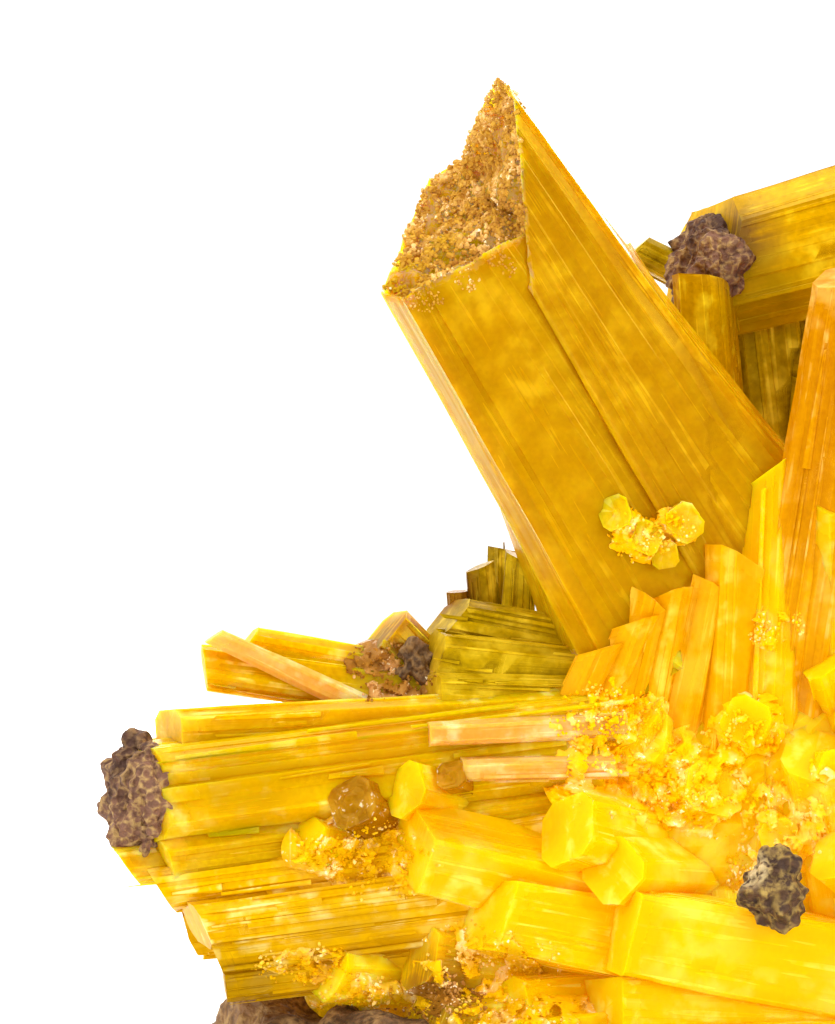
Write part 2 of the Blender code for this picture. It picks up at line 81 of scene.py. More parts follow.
class Socket:
    """One socket of a shader tree, used like a number: each operator adds a Math node."""

    def __init__(self, tree, socket):
        self.tree = tree
        self.socket = socket

    def node(self, kind, settings, inputs, output=0):
        """Adds a node: its settings first, then its sockets' values or links. Gives one output."""
        made = self.tree.nodes.new(kind)
        for key, value in settings.items():
            setattr(made, key, value)
        for key, value in inputs.items():
            if isinstance(value, Socket):
                self.tree.links.new(value.socket, made.inputs[key])
            else:
                made.inputs[key].default_value = value
        return Socket(self.tree, made.outputs[output])

    def feed(self, socket):
        """Links this to a shader's socket."""
        self.tree.links.new(self.socket, socket)

    def math(self, operation, first, second):
        return self.node("ShaderNodeMath", {"operation": operation}, {0: first, 1: second})

    def __add__(self, other):
        return self.math("ADD", self, other)

    __radd__ = __add__

    def __mul__(self, other):
        return self.math("MULTIPLY", self, other)

    __rmul__ = __mul__

    def __sub__(self, other):
        return self.math("SUBTRACT", self, other)

    def __rsub__(self, other):
        return self.math("SUBTRACT", other, self)

    def between(self, low, high):
        """0 below low, 1 above high, and an even rise between them."""
        limits = {"Value": self, "From Min": low, "From Max": high}
        return self.node("ShaderNodeMapRange", {}, limits)

    def plain(self, colour):
        """One colour in this tree."""
        made = self.node("ShaderNodeRGB", {}, {})
        made.socket.default_value = (*colour, 1)
        return made

    def blend(self, other, share):
        """This colour where share is 0, the other where it is 1."""
        return self.node(
            "ShaderNodeMix", {"data_type": "RGBA"},
            {"Factor": share, 6: self, 7: other if isinstance(other, Socket) else (*other, 1)}, 2)

    def times(self, by):
        """This place, each of its coordinates multiplied by its own number."""
        return self.node("ShaderNodeVectorMath", {"operation": "MULTIPLY"}, {0: self, 1: by})

    def cloud(self, scale, detail, stretch=(1, 1, 1)):
        """Soft noise of about that many lumps a millimetre, which stretch makes denser by axis."""
        place = self.times(tuple(scale * way / MM for way in stretch))
        inputs = {"Vector": place, "Scale": 1.0, "Detail": detail}
        return self.node("ShaderNodeTexNoise", {}, inputs)

    def cells(self, scale):
        """How far it is to the nearest of scattered points, about that many a millimetre."""
        place = self.times((scale / MM,) * 3)
        return self.node("ShaderNodeTexVoronoi", {}, {"Vector": place, "Scale": 1.0})

    def near(self, centre, inner, outer):
        """1 within inner millimetres of a place, 0 past outer."""
        centre = tuple(c * MM for c in centre)
        away = self.node("ShaderNodeVectorMath", {"operation": "DISTANCE"}, {0: self, 1: centre}, 1)
        return 1 - away.between(inner * MM, outer * MM)


# The sky is white and bright overhead and behind the spray, and dim low in front, where the camera
# is, so that faces towards the camera keep their own colour and those turned away shine.
DIM, BRIGHT = 0.35, 1.3
BRIGHTEST_WAY = (0, 0.6, 0.8)
DIM_TO, BRIGHT_FROM = -0.45, 0.5  # cosines of the angle to that way
world = bpy.data.worlds.new("white studio")
world.use_nodes = True
scene.world = world
sky = world.node_tree
way = Socket(sky, sky.nodes.new("ShaderNodeTexCoord").outputs["Generated"])
lift = way.node("ShaderNodeVectorMath", {"operation": "DOT_PRODUCT"}, {0: way, 1: BRIGHTEST_WAY}, 1)
strength = DIM + (BRIGHT - DIM) * lift.between(DIM_TO, BRIGHT_FROM)
sky.nodes["Background"].inputs["Color"].default_value = (1, 1, 1, 1)
strength.feed(sky.nodes["Background"].inputs["Strength"])


def new_material(name):
    """A material and the sockets of its one Principled shader."""
    made = bpy.data.materials.new(name)
    made.use_nodes = True
    return made, made.node_tree.nodes["Principled BSDF"].inputs


FLOOR_HALF = 600
CARD_COLOUR = (0.95, 0.95, 0.95, 1)
CARD_ROUGHNESS = 0.6
card, card_sockets = new_material("white card")
card_sockets["Base Color"].default_value = CARD_COLOUR
card_sockets["Roughness"].default_value = CARD_ROUGHNESS
floor_mesh = bpy.data.meshes.new("studio_floor")
half = FLOOR_HALF * MM
corners = [(-half, -half, 0), (half, -half, 0), (half, half, 0), (-half, half, 0)]
floor_mesh.from_pydata(corners, [], [range(4)])
floor_mesh.materials.append(card)
floor = bpy.data.objects.new("studio_floor", floor_mesh)
scene.collection.objects.link(floor)


SPRAY_MIDDLE = Vector((-5, 0, 25))


def lamp(name, place, size, watts):
    """A square softbox at a place in millimetres, turned to face the spray."""
    light = bpy.data.lights.new(name, "AREA")
    light.size = size * MM
    light.energy = watts
    holder = bpy.data.objects.new(name, light)
    holder.location = Vector(place) * MM
    holder.rotation_euler = (SPRAY_MIDDLE - Vector(place)).to_track_quat("-Z", "Y").to_euler()
    scene.collection.objects.link(holder)


lamp("lamp_overhead", (-40, -40, 420), 240, 0.7)
lamp("lamp_front_right", (300, -260, 140), 80, 0.62)
lamp("lamp_front_left", (-320, -220, 220), 80, 0.4)
lamp("lamp_behind", (60, 330, 120), 260, 1.0)
lamp("lamp_glint", (-120, -380, 300), 40, 0.2)

target = Vector((
    (PHOTO_MIDDLE[0] - ORIGIN_PIXEL[0]) / PIXELS_PER_MM, 0,
    (ORIGIN_PIXEL[1] - PHOTO_MIDDLE[1]) / PIXELS_PER_MM,
)) * MM
rise = math.radians(CAMERA_RISE)
backward = Vector((0, -math.cos(rise), math.sin(rise)))
lens = bpy.data.cameras.new("camera")
lens.sensor_width = SENSOR
lens.lens = SENSOR * CAMERA_DISTANCE * PIXELS_PER_MM / PHOTO_HEIGHT
lens.clip_start = 0.01
camera = bpy.data.objects.new("camera", lens)
camera.location = target + backward * CAMERA_DISTANCE * MM
camera.rotation_euler = (-backward).to_track_quat("-Z", "Y").to_euler()
scene.collection.objects.link(camera)
scene.camera = camera

# The main prism. One thick amber crystal of legrandite that leans to the left, with fine ridges
# along it, a thinner prism grown on along its right edge, and a pitted, sugary end where it
# stopped growing. A crust of small crystals sits low on its front.


# Outlines of a prism, in shares of its width and its depth, with the front at -0.5 of its depth.
SQUARE = (
    (0.5, -0.3), (0.5, 0.3), (0.3, 0.5), (-0.3, 0.5),
    (-0.5, 0.3), (-0.5, -0.3), (-0.3, -0.5), (0.3, -0.5),
)
SHARP_LEFT = (
    (0.5, -0.4), (0.5, 0.4), (0.4, 0.5), (0.1, 0.5), (-0.5, -0.36), (-0.45, -0.5), (0.45, -0.5),
)
SHARP_RIGHT = ((0.5, -0.42), (0.5, -0.2), (0.0, 0.5), (-0.5, 0.5), (-0.5, -0.5), (0.45, -0.5))


class Crystal(NamedTuple):
    """One prism. Width is across its front and depth behind it, both at the root."""

    root: tuple
    tip: tuple
    width: float
    depth: float
    taper: float = 0.9  # the free end's width over the root's
    roll: float = 0  # degrees round its own axis
    end: tuple = (0, 0, 0)  # added to the axis, this is the way that the free end faces
    ledges: int = 0  # thinner prisms grown along its sides
    outline: tuple = SQUARE


class Finish(NamedTuple):
    """How a group of crystals grew: how strong its ridges are, and how rough its ends."""

    ridges: int
    rows: int
    relief: float  # of the crystal's width
    rings: int = 5
    tilt: float = 0.06  # rise of a ridge's one edge over its other, as a share of its breadth
    pits: float = 0.015  # millimetres up and down over the end
    grain: float = 0.5  # millimetres from pit to pit
    splinter: float = 0.3  # millimetres that the ridges' ends differ by
    cracks: int = 0  # places where the crystal has parted across and shifted a little
    splinters: int = 0  # thin crystals grown on along its faces


def noise(points, seed=0):
    """Smooth noise from -1 to 1: random values on a unit lattice, blended by a cubic between.

    The big odd numbers mix the bits of a lattice point's place into its random value.
    """
    cell = np.floor(points).astype(np.int64)
    part = points - cell
    ease = part * part * (3 - 2 * part)
    total = 0
    for corner in np.ndindex(2, 2, 2):
        lattice = (cell + corner) * (73856093, 19349663, 83492791)
        mixed = lattice[..., 0] ^ lattice[..., 1] ^ (lattice[..., 2] + seed * 2654435761)
        mixed = (mixed ^ (mixed >> 13)) * 1274126177 & 0xFFFFFFFF
        mixed = (mixed ^ (mixed >> 16)) & 0xFFFF
        weight = np.prod(np.where(corner, ease, 1 - ease), axis=-1)
        total = total + weight * (mixed / 32767.5 - 1)
    return total


def layered_noise(points, seed, onward=0):
    """Three layers of noise, each half as wide and as high as the last, with its seed onward."""
    return sum(
        noise(points / step, seed + onward * number) * step
        for number, step in enumerate((1, 0.5, 0.25)))


def turned_axes(crystal):
    """The crystal's own across, behind and along directions, as the columns of a matrix."""
    along = Vector(crystal.tip) - Vector(crystal.root)
    turn = along.to_track_quat("Z", "X").to_matrix()
    return np.array(turn @ Matrix.Rotation(math.radians(crystal.roll), 3, "Z"))


def ridge_columns(ridges, outline, rng):
    """Where the ridges' edges stand round the outline, with the outward way there.

    The outline is parted at its corners and at random places into about that many strips, and
    each strip has a column of points just inside both its edges.
    """
    corners = np.array(outline)
    side = np.roll(corners, -1, axis=0) - corners
    length = np.hypot(*side.T)
    start = np.concatenate([[0], np.cumsum(length)])
    extra = rng.uniform(0, start[-1], max(ridges - len(corners), 0))
    cuts = np.unique(np.concatenate([start[:-1], extra]))
    cuts = cuts[np.concatenate([[True], np.diff(cuts) > 0.01]) | np.isin(cuts, start)]
    after = np.append(cuts[1:], start[-1])
    inset = np.minimum(0.06 * (after - cuts), 0.012)
    edges = np.stack([cuts + inset, after - inset], axis=1)
    face = np.searchsorted(start, cuts, side="right") - 1
    share = (edges - start[face, None]) / length[face, None]
    places = corners[face, None] + share[..., None] * side[face, None]
    out = np.stack([side[:, 1], -side[:, 0]], axis=1) / length[:, None]
    strips = len(cuts)
    return places.reshape(-1, 2), np.repeat(out[face], 2, axis=0), edges.ravel(), strips


def closed_grid(shape, first, last):
    """Faces that join rings of equal length in order, with a fan to a middle point at both ends."""
    count, around = shape
    index = np.arange(count * around).reshape(count, around)
    right = np.roll(index, -1, axis=1)
    quads = np.stack([index[:-1], right[:-1], right[1:], index[1:]], axis=-1).reshape(-1, 4)
    low = np.stack([right[0], index[0], np.full(around, first)], axis=-1)
    high = np.stack([index[-1], right[-1], np.full(around, last)], axis=-1)
    return quads, np.concatenate([low, high])


def mesh_of(name, points, quads, triangles, layers):
    """A mesh in metres from arrays in millimetres, with layers of three numbers a point."""
    mesh = bpy.data.meshes.new(name)
    mesh.vertices.add(len(points))
    mesh.vertices.foreach_set("co", (points * MM).astype(np.float32).ravel())
    mesh.loops.add(quads.size + triangles.size)
    mesh.loops.foreach_set("vertex_index", np.concatenate([quads.ravel(), triangles.ravel()]))
    mesh.polygons.add(len(quads) + len(triangles))
    starts = np.concatenate([
        np.arange(len(quads)) * 4, quads.size + np.arange(len(triangles)) * 3,
    ])
    mesh.polygons.foreach_set("loop_start", starts)
    mesh.update(calc_edges=True)
    mesh.shade_flat()
    for layer, values in layers.items():
        made = mesh.attributes.new(layer, "FLOAT_VECTOR", "POINT")
        made.data.foreach_set("vector", values.astype(np.float32).ravel())
    return mesh


def shell(grid, first, last, layers):
    """A closed mesh from rings of points, with a middle point inside the first and the last."""
    points = np.concatenate([grid.reshape(-1, 3), [first, last]])
    quads, triangles = closed_grid(grid.shape[:2], len(points) - 2, len(points) - 1)
    for name, values in layers.items():
        layers[name] = np.concatenate([values.reshape(-1, 3), [values[0, 0], values[-1, 0]]])
    return mesh_of("shell", points, quads, triangles, layers)


# Strips that face this way get a painted reflection: pale colour, as if they caught the white
# studio.
SHEEN_WAY = (-0.585, -0.69, -0.425)  # which way the main prism's pale left bevel faces
STEPPED = 0.35  # the share of a prism's strips that step in again
STEP_PLACES = (0.15, 0.95)  # between these shares of its length
CRACK_PLACES = (0.2, 0.9)
CRACK_STEPS = (0.004, 0.02)  # of its thickness, as the next two are
SWELL = 0.012  # how far its faces wave in and out
SWELL_WIDTH = 0.5


def prism(crystal, finish, seed, tone=None):
    """A ridged prism: its outline carried from root to end plane, then rings to close it.

    Each column runs straight from the root to the sloping end plane. Every strip between two
    columns is set in by its own amount, some strips step in again part way along, and all of them
    do at a crack. The end is rings that shrink to its middle, moved up and down by noise.
    """
    rng = np.random.default_rng(seed)
    axes = turned_axes(crystal)
    root, tip = np.array(crystal.root), np.array(crystal.tip)
    size = np.array((crystal.width, crystal.depth))
    thick = size.min()
    places, out, around, strips = ridge_columns(finish.ridges, crystal.outline, rng)
    low = root + (places * size) @ axes[:, :2].T
    high = tip + (places * size * crystal.taper) @ axes[:, :2].T
    facing = axes[:, 2] + crystal.end
    facing /= np.linalg.norm(facing)
    reach = ((tip - low) @ facing) / ((high - low) @ facing)
    length = np.linalg.norm(tip - root)
    whole = low + reach[:, None] * (high - low)
    chip = np.repeat(rng.random(strips) ** 2, 2) * finish.splinter / length
    end = whole - chip[:, None] * (high - low)

    outward = out @ axes[:, :2].T
    own = np.repeat(rng.random(strips), 2)
    step_in = np.repeat(rng.random(strips) ** 1.6, 2) * finish.relief * thick
    again = np.repeat((rng.random(strips) < STEPPED) * rng.random(strips), 2)
    again = again * finish.relief * thick
    break_at = np.repeat(rng.uniform(*STEP_PLACES, strips), 2)
    share = np.linspace(0, 1, finish.rows)[:, None]
    breadth = np.abs(np.diff(around.reshape(-1, 2), axis=1)) * size.mean()
    lean = rng.normal(0, finish.tilt, (strips, 1)) * np.minimum(breadth, 0.8)
    step_in = step_in + (lean * (0.5, -0.5)).ravel()
    inset = step_in + again * (share > break_at)
    for crack in rng.uniform(*CRACK_PLACES, finish.cracks):
        inset = inset + (share > crack) * rng.uniform(*CRACK_STEPS) * thick
    body = low + share[..., None] * (end - low) - inset[..., None] * outward
    body += outward * (SWELL * thick * noise(body / (SWELL_WIDTH * thick), seed))[..., None]

    middle = whole.mean(axis=0)
    shrink = np.linspace(0.985, 0, finish.rings + 1)[:-1, None]
    cap = middle + shrink[..., None] * (whole - middle)
    bumps = layered_noise(cap / finish.grain, seed, 1)
    edge = np.minimum(1, 8 * (1.02 - shrink)) * np.minimum(1, 6 * shrink)
    cap += facing * (finish.pits * (bumps - 0.3) * edge)[..., None]

    rings = np.concatenate([body, cap])
    millimetres = around * size.mean() / 2
    along = np.concatenate([share[:, 0] * length, length + (1 - shrink[:, 0]) * size.mean() / 2])
    start = 50 * rng.random(2)
    track = np.stack(np.broadcast_arrays(millimetres, along[:, None], 0.0), axis=-1).copy()
    track[len(share):, :, :2] = (shrink[..., None] * places * size)[..., ::-1]
    track[..., :2] += start
    streak = 0.5 + 0.45 * noise(track * (2.2, 0.12, 1), seed) + 0.3 * (own - 0.5)
    cloud = 0.5 + 0.5 * noise(rings / 3.0, 90)
    # How far each strip faces the sheen's way: where its painted reflection goes.
    painted_sheen = np.clip((outward @ SHEEN_WAY - 0.9) / 0.05, 0, 1)
    ended = np.concatenate([share > 0.999, np.ones((len(shrink), 1))])
    # How deep each strip is set in, which the material paints darker as shade in the grooves.
    groove_shade = np.pad(inset, ((0, len(shrink)), (0, 0))) / (finish.relief * thick)
    tone = rng.random() if tone is None else tone
    # The last layer holds the rough end, the groove's painted shade and the strip's painted
    # reflection.
    return shell(rings, low.mean(axis=0), middle, {
        "track": track,
        "grown": np.stack(np.broadcast_arrays(tone, streak, cloud), axis=-1),
        "worn": np.stack(np.broadcast_arrays(ended, groove_shade, painted_sheen * (1 - ended)), axis=-1),
    })


LEDGE_OUT = 0.36  # where a ledge's middle is, from the crystal's, as a share of its width
LEDGE_SIZES = (0.26, 0.4)
LEDGE_ENDS = (0.72, 0.94)  # shares of the crystal's length


def ledges_of(crystal, seed):
    """Thinner, shorter prisms half sunk in a crystal's sides, all along its own axis."""
    rng = random.Random(seed)
    root, tip = Vector(crystal.root), Vector(crystal.tip)
    axis = (tip - root).normalized()
    across = axis.cross(Vector((0, 1, 0))).normalized()
    for number in range(crystal.ledges):
        angle = 2 * math.pi * (number + rng.uniform(0.2, 0.8)) / crystal.ledges
        aside = LEDGE_OUT * crystal.width * math.cos(angle) * across
        behind = LEDGE_OUT * crystal.depth * math.sin(angle) * axis.cross(across)
        shift = aside + behind
        end = root.lerp(tip, rng.uniform(*LEDGE_ENDS)) + shift * crystal.taper
        yield Crystal(
            tuple(root + shift), tuple(end), crystal.width * rng.uniform(*LEDGE_SIZES),
            crystal.depth * rng.uniform(*LEDGE_SIZES), roll=rng.uniform(-15, 15), end=crystal.end,
        )


SPLINTER_SIZES = (0.03, 0.11)  # of the crystal's thickness
SPLINTER_SUNK = (0.15, 0.35)  # of the splinter's own, from the face to its middle


def splinters_of(crystal, count, seed):
    """Thin prisms that stand a little out of a crystal's faces, each for part of its length."""
    rng = np.random.default_rng(seed)
    axes = turned_axes(crystal)
    root, tip = np.array(crystal.root), np.array(crystal.tip)
    size = np.array((crystal.width, crystal.depth))
    for _ in range(count):
        place = rng.uniform(-0.42, 0.42, 2)
        edge = rng.integers(2)
        place[edge] = 0.5 * rng.choice((-1, 1), p=(0.7, 0.3))
        ends = np.sort(rng.uniform(-0.1, 1.0, 2))
        ends[1] = max(ends[1], ends[0] + 0.12)
        thick = size.min() * rng.uniform(*SPLINTER_SIZES)
        place[edge] *= 1 - 2 * thick * rng.uniform(*SPLINTER_SUNK) / size[edge]
        aside = (place * size) @ axes[:, :2].T
        lean = axes[:, :2] @ rng.normal(0, 0.012 * size.min(), 2)
        low, high = (
            root + e * (tip - root) + aside * (1 + (crystal.taper - 1) * e) for e in ends)
        yield Crystal(
            tuple(low - lean), tuple(high + lean), thick * rng.uniform(0.8, 1.8), thick,
            taper=rng.uniform(0.3, 0.9), roll=crystal.roll + rng.uniform(-12, 12),
            end=tuple(rng.uniform(-0.6, 0.6, 3)),
        )


def grow_together(name, meshes):
    """One closed piece from several closed meshes, by a union that keeps their attributes."""
    others = bpy.data.collections.new(f"{name}_others")
    scene.collection.children.link(others)
    for mesh in meshes[1:]:
        others.objects.link(bpy.data.objects.new("other", mesh))
    whole = bpy.data.objects.new(name, meshes[0])
    scene.collection.objects.link(whole)
    join = whole.modifiers.new("grown together", "BOOLEAN")
    join.operation = "UNION"
    join.solver = "MANIFOLD"
    join.operand_type = "COLLECTION"
    join.collection = others
    seen = bpy.context.evaluated_depsgraph_get()
    joined = bpy.data.meshes.new_from_object(
        whole.evaluated_get(seen), preserve_all_data_layers=True, depsgraph=seen)
    joined.name = name
    whole.modifiers.clear()
    whole.data = joined
    for other in list(others.objects):
        bpy.data.objects.remove(other)
    bpy.data.collections.remove(others)
    for mesh in meshes:
        bpy.data.meshes.remove(mesh)
    return whole


def finished(piece, node, material):
    """Gives a piece its one material, attaches it to the root body and hides the CAD node that it
    stands for.
    """
    piece.data.materials.clear()
    piece.data.materials.append(material)
    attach(piece, "root")
    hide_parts(node)
    return piece


COUNTED = []  # every crystal so far, because its place in the count is its random seed


def spray_piece(name, crystals, finish, material):
    """A group of crystals, their ledges and splinters as one piece that stands for the spray."""
    meshes = []
    thin = finish._replace(ridges=10, rows=6, rings=2, cracks=0, pits=0.02)
    for number, crystal in enumerate(crystals, len(COUNTED)):
        tone = random.Random(number).random()
        meshes.append(prism(crystal, finish, 1000 + number, tone))
        for part, ledge in enumerate(ledges_of(crystal, number)):
            meshes.append(prism(ledge, finish._replace(ridges=20), 5000 + 10 * number + part))
        for part, splinter in enumerate(splinters_of(crystal, finish.splinters, 300 + number)):
            seed = 100000 + 100 * number + part
            own = tone + random.Random(seed).uniform(-0.2, 0.2)
            meshes.append(prism(splinter, thin, seed, own))
    COUNTED.extend(crystals)
    return finished(grow_together(name, meshes), "legrandite_spray", material)


IOR = 1.65
ABSORBED = (0.998, 0.93, 0.0, 1)  # what is left of white light on its way through
ABSORPTION = 500.0
GLOSS = 0.15
GLOSS_TINT = (1.0, 0.75, 0.05, 1)
SCATTER = (0.003, 0.0016, 0.0001)  # metres that red, green and blue light go inside
SCATTER_SCALE = 0.6
CORE = (1.0, -3.0, 13.0)  # the spray's glowing middle
CORE_GLOW_COLOUR = (1.0, 0.66, 0.004)
RUST = (0.26, 0.09, 0.006)
DARK_AMBER = (0.6, 0.29, 0.0)
# The colour of painted glints: pale specks painted in as highlights.
PAINTED_GLINT = (1.0, 0.92, 0.62)  # a fleck that catches the light
# The painted reflection on the main prism's left bevel: its pale colour, and the heights where it
# fades in.
PAINTED_SHEEN_COLOUR = (0.6, 0.48, 0.2)
SHEEN_HEIGHTS = (0.027, 0.034)  # metres up, between which the bevel turns pale


def legrandite(
    name, deep, bright, pale, wisps=0.5, glow=0.5, clear=0.15, soft=True, emitted_glow=0.08, rough=0.15,
    stains=(), dust=None, glints=0.0, painted_sheen=0.0, milk=0.3, streaks=0.3,
):
    """Legrandite: deep and bright yellow in clouds and streaks along the crystal, with pale wisps.

    It turns a brighter lemon towards the spray's middle, a painted glow. Stains are places, radii
    and colours. Dust is a colour that lies in a net over the rough ends. Glints is how strong the
    pale specks are that are painted in as highlights. Painted sheen is how pale the strips are
    painted that face down to the left, a painted reflection, milk how strong the wide pale veils
    are, and streaks how far the strips differ and how much darker the grooves are painted, as
    shade. Emitted glow is a painted glow: light that the crystal sends out as a share of its own
    colour, though it is no lamp. The colours are linear.
    """
    made, surface = new_material(name)
    tree = made.node_tree
    place = Socket(tree, tree.nodes.new("ShaderNodeTexCoord").outputs["Object"])

    def layer(attribute):
        return place.node("ShaderNodeAttribute", {"attribute_name": attribute}, {}, "Vector")

    def part(vector, axis):
        return vector.node("ShaderNodeSeparateXYZ", {}, {0: vector}, axis)

    grown, worn = layer("grown"), layer("worn")
    tone, streak, cloud = part(grown, "X"), part(grown, "Y"), part(grown, "Z")
    ended, groove_shade, sheen_facing = part(worn, "X"), part(worn, "Y"), part(worn, "Z")
    veil = place.cloud(1.1, detail=3.0)
    fine = layer("track").times((MM, MM, MM)).cloud(1.0, stretch=(6.5, 0.16, 1), detail=1.0)
    lines = fine.between(0.3, 0.7)
    lines = lines + ended * 0.8 * (0.5 - lines)
    net = place.cloud(5.0, detail=2.0)

    lively = (streak + lines - 1) * streaks + cloud * 0.3 + tone * 0.2
    lively = lively + veil * 0.6 + net * 0.7 - 0.46
    colour = place.plain(deep).blend(bright, lively)
    # Painted glow: towards the spray's middle the colour is painted a brighter lemon.
    core = place.near(CORE, 5.0, 24.0)
    colour = colour.blend(CORE_GLOW_COLOUR, core * glow * (0.55 + 0.6 * cloud))
    # Painted shade: the deeper grooves between strips are painted darker.
    colour = colour.blend(deep, groove_shade.between(0.3, 1.0) * streaks)
    colour = colour.blend(pale, cloud.between(0.45, 0.8) * veil.between(0.4, 0.6) * milk)
    colour = colour.blend(pale, veil.between(0.5, 0.68) * streak.between(0.4, 0.75) * wisps)
    # Thin pale lines along the crystal: partly scratches, partly painted glints.
    scratch_and_glint = fine.between(0.6, 0.72) * veil.between(0.45, 0.58) * (1 - 0.8 * ended)
    colour = colour.blend(pale, scratch_and_glint * wisps)
    # Painted reflection: strips that face down to the left are painted pale, as if lit by the white
    # studio.
    if painted_sheen:
        high = part(place, "Z").between(*SHEEN_HEIGHTS)
        colour = colour.blend(PAINTED_SHEEN_COLOUR, sheen_facing * painted_sheen * high * (0.3 + 0.9 * lines))
    ragged = (veil + fine).between(0.7, 1.0)
    for centre, radius, stain_colour in stains:
        stain = place.near(centre, 0.4 * radius, radius)
        colour = colour.blend(stain_colour, stain * (0.3 + 0.6 * ragged))
    if dust:
        colour = colour.blend(dust, ended * net.between(0.42, 0.52) * veil.between(0.25, 0.5))
    # Painted glints: pale specks painted in as highlights.
    if glints:
        colour = colour.blend(PAINTED_GLINT, net.between(0.62, 0.68) * veil.between(0.5, 0.58) * glints)
    colour.feed(surface["Base Color"])
    # Painted glow: the crystal emits its own colour, though it is no lamp, which lights up its
    # shaded faces.
    colour.feed(surface["Emission Color"])
    surface["Emission Strength"].default_value = emitted_glow
    (rough + 0.2 * fine + 0.25 * ended).feed(surface["Roughness"])
    surface["IOR"].default_value = IOR
    surface["Specular IOR Level"].default_value = GLOSS
    surface["Specular Tint"].default_value = GLOSS_TINT
    surface["Transmission Weight"].default_value = clear
    if soft:
        surface["Subsurface Weight"].default_value = 1.0
        surface["Subsurface Radius"].default_value = SCATTER
        surface["Subsurface Scale"].default_value = SCATTER_SCALE
    if clear:
        inside = place.node(
            "ShaderNodeVolumeAbsorption", {}, {"Color": ABSORBED, "Density": ABSORPTION})
        inside.feed(tree.nodes["Material Output"].inputs["Volume"])
    return made


AMBER = legrandite("amber legrandite", (0.4, 0.17, 0.0), (0.6, 0.32, 0.0), (0.8, 0.5, 0.01),
                   wisps=0.4, glow=0.2, emitted_glow=0.08, dust=(0.5, 0.25, 0.08), painted_sheen=0.9, milk=0.25,
                   streaks=0.17)

# It broke off in two steps: across its left side, and steeply up its right side to a point.
MAIN_PRISM = [
    Crystal((-2.09, 0.86, 25.84), (-12.45, -3.0, 41.84), 12.3, 8.62, taper=0.735, roll=-4,
            end=(0.24, -0.31, -0.01), outline=SHARP_LEFT),
    Crystal((-0.93, 0.83, 28.2), (-10.8, -3.34, 44.05), 6.06, 7.98, taper=0.63, roll=-4,
            end=(-0.36, -0.21, -0.91), outline=SHARP_RIGHT),
    Crystal((-10.9, -1.9, 38.5), (-5.7, -1.0, 25.6), 4.0, 4.8, taper=1.25, roll=-6,
            end=(0.08, 0.1, 0.04)),
    Crystal((-0.4, 2.2, 29.6), (-7.2, 0.0, 40.4), 3.4, 4.4, roll=8, end=(0.3, 0, 0.1)),
    Crystal((-1.0, 1.6, 23.0), (-3.0, 1.6, 30.5), 7.0, 5.0),
]
MAIN_PRISM_DRUSE = [
    Crystal((-5.6, -1.6, 29.9), (-5.9, -4.9, 30.2), 1.5, 1.4, roll=20, end=(-0.3, 0, 0.3)),
    Crystal((-4.6, -1.6, 29.3), (-4.6, -5.0, 29.2), 1.4, 1.3, roll=-25, end=(0, 0, 0.4)),
    Crystal((-3.4, -1.6, 29.6), (-3.1, -4.9, 29.8), 1.7, 1.5, roll=35, end=(0.3, 0, -0.2)),
    Crystal((-3.9, -1.6, 28.8), (-3.9, -4.7, 28.5), 1.3, 1.2, roll=10, end=(0, 0, -0.4)),
]


def end_seats(crystal, count, seed, others):
    """Random places in a net over a crystal's free end, where nothing covers it, and its way."""
    rng = np.random.default_rng(seed)
    axes = turned_axes(crystal)
    tip = np.array(crystal.tip)
    corners = np.array(crystal.outline)
    size = np.array((crystal.width, crystal.depth)) * crystal.taper
    facing = axes[:, 2] + crystal.end
    facing /= np.linalg.norm(facing)
    share = rng.uniform(-0.5, 0.5, (count, 2))
    side = np.roll(corners, -1, axis=0) - corners
    gap = share[:, None] - corners
    inside = (side[:, 0] * gap[..., 1] > side[:, 1] * gap[..., 0]).all(axis=1)
    aside = (share[inside] * size) @ axes[:, :2].T
    back = (aside @ facing) / (axes[:, 2] @ facing)
    seats = tip + aside - back[:, None] * axes[:, 2]
    above, reach = 4, 6  # millimetres from the start of a search to the end's plane, and past it
    down = Vector(-facing)
    hits = [others.ray_cast(Vector(seat + above * facing), down, reach) for seat in seats]
    rise = np.array([above - hit[3] if hit[0] else -9 for hit in hits])
    level = np.array([hit[1].dot(Vector(facing)) if hit[0] else 0 for hit in hits])
    kept = (rise < 0.8) & (rise > -2) & (level > 0.5) & (noise(seats / 0.6, seed) > -0.3)
    return (seats + rise[:, None] * facing)[kept], np.broadcast_to(facing, (kept.sum(), 3))


GRAIN_SIDES = 6
GRAIN_POINTS = 2 * GRAIN_SIDES + 2


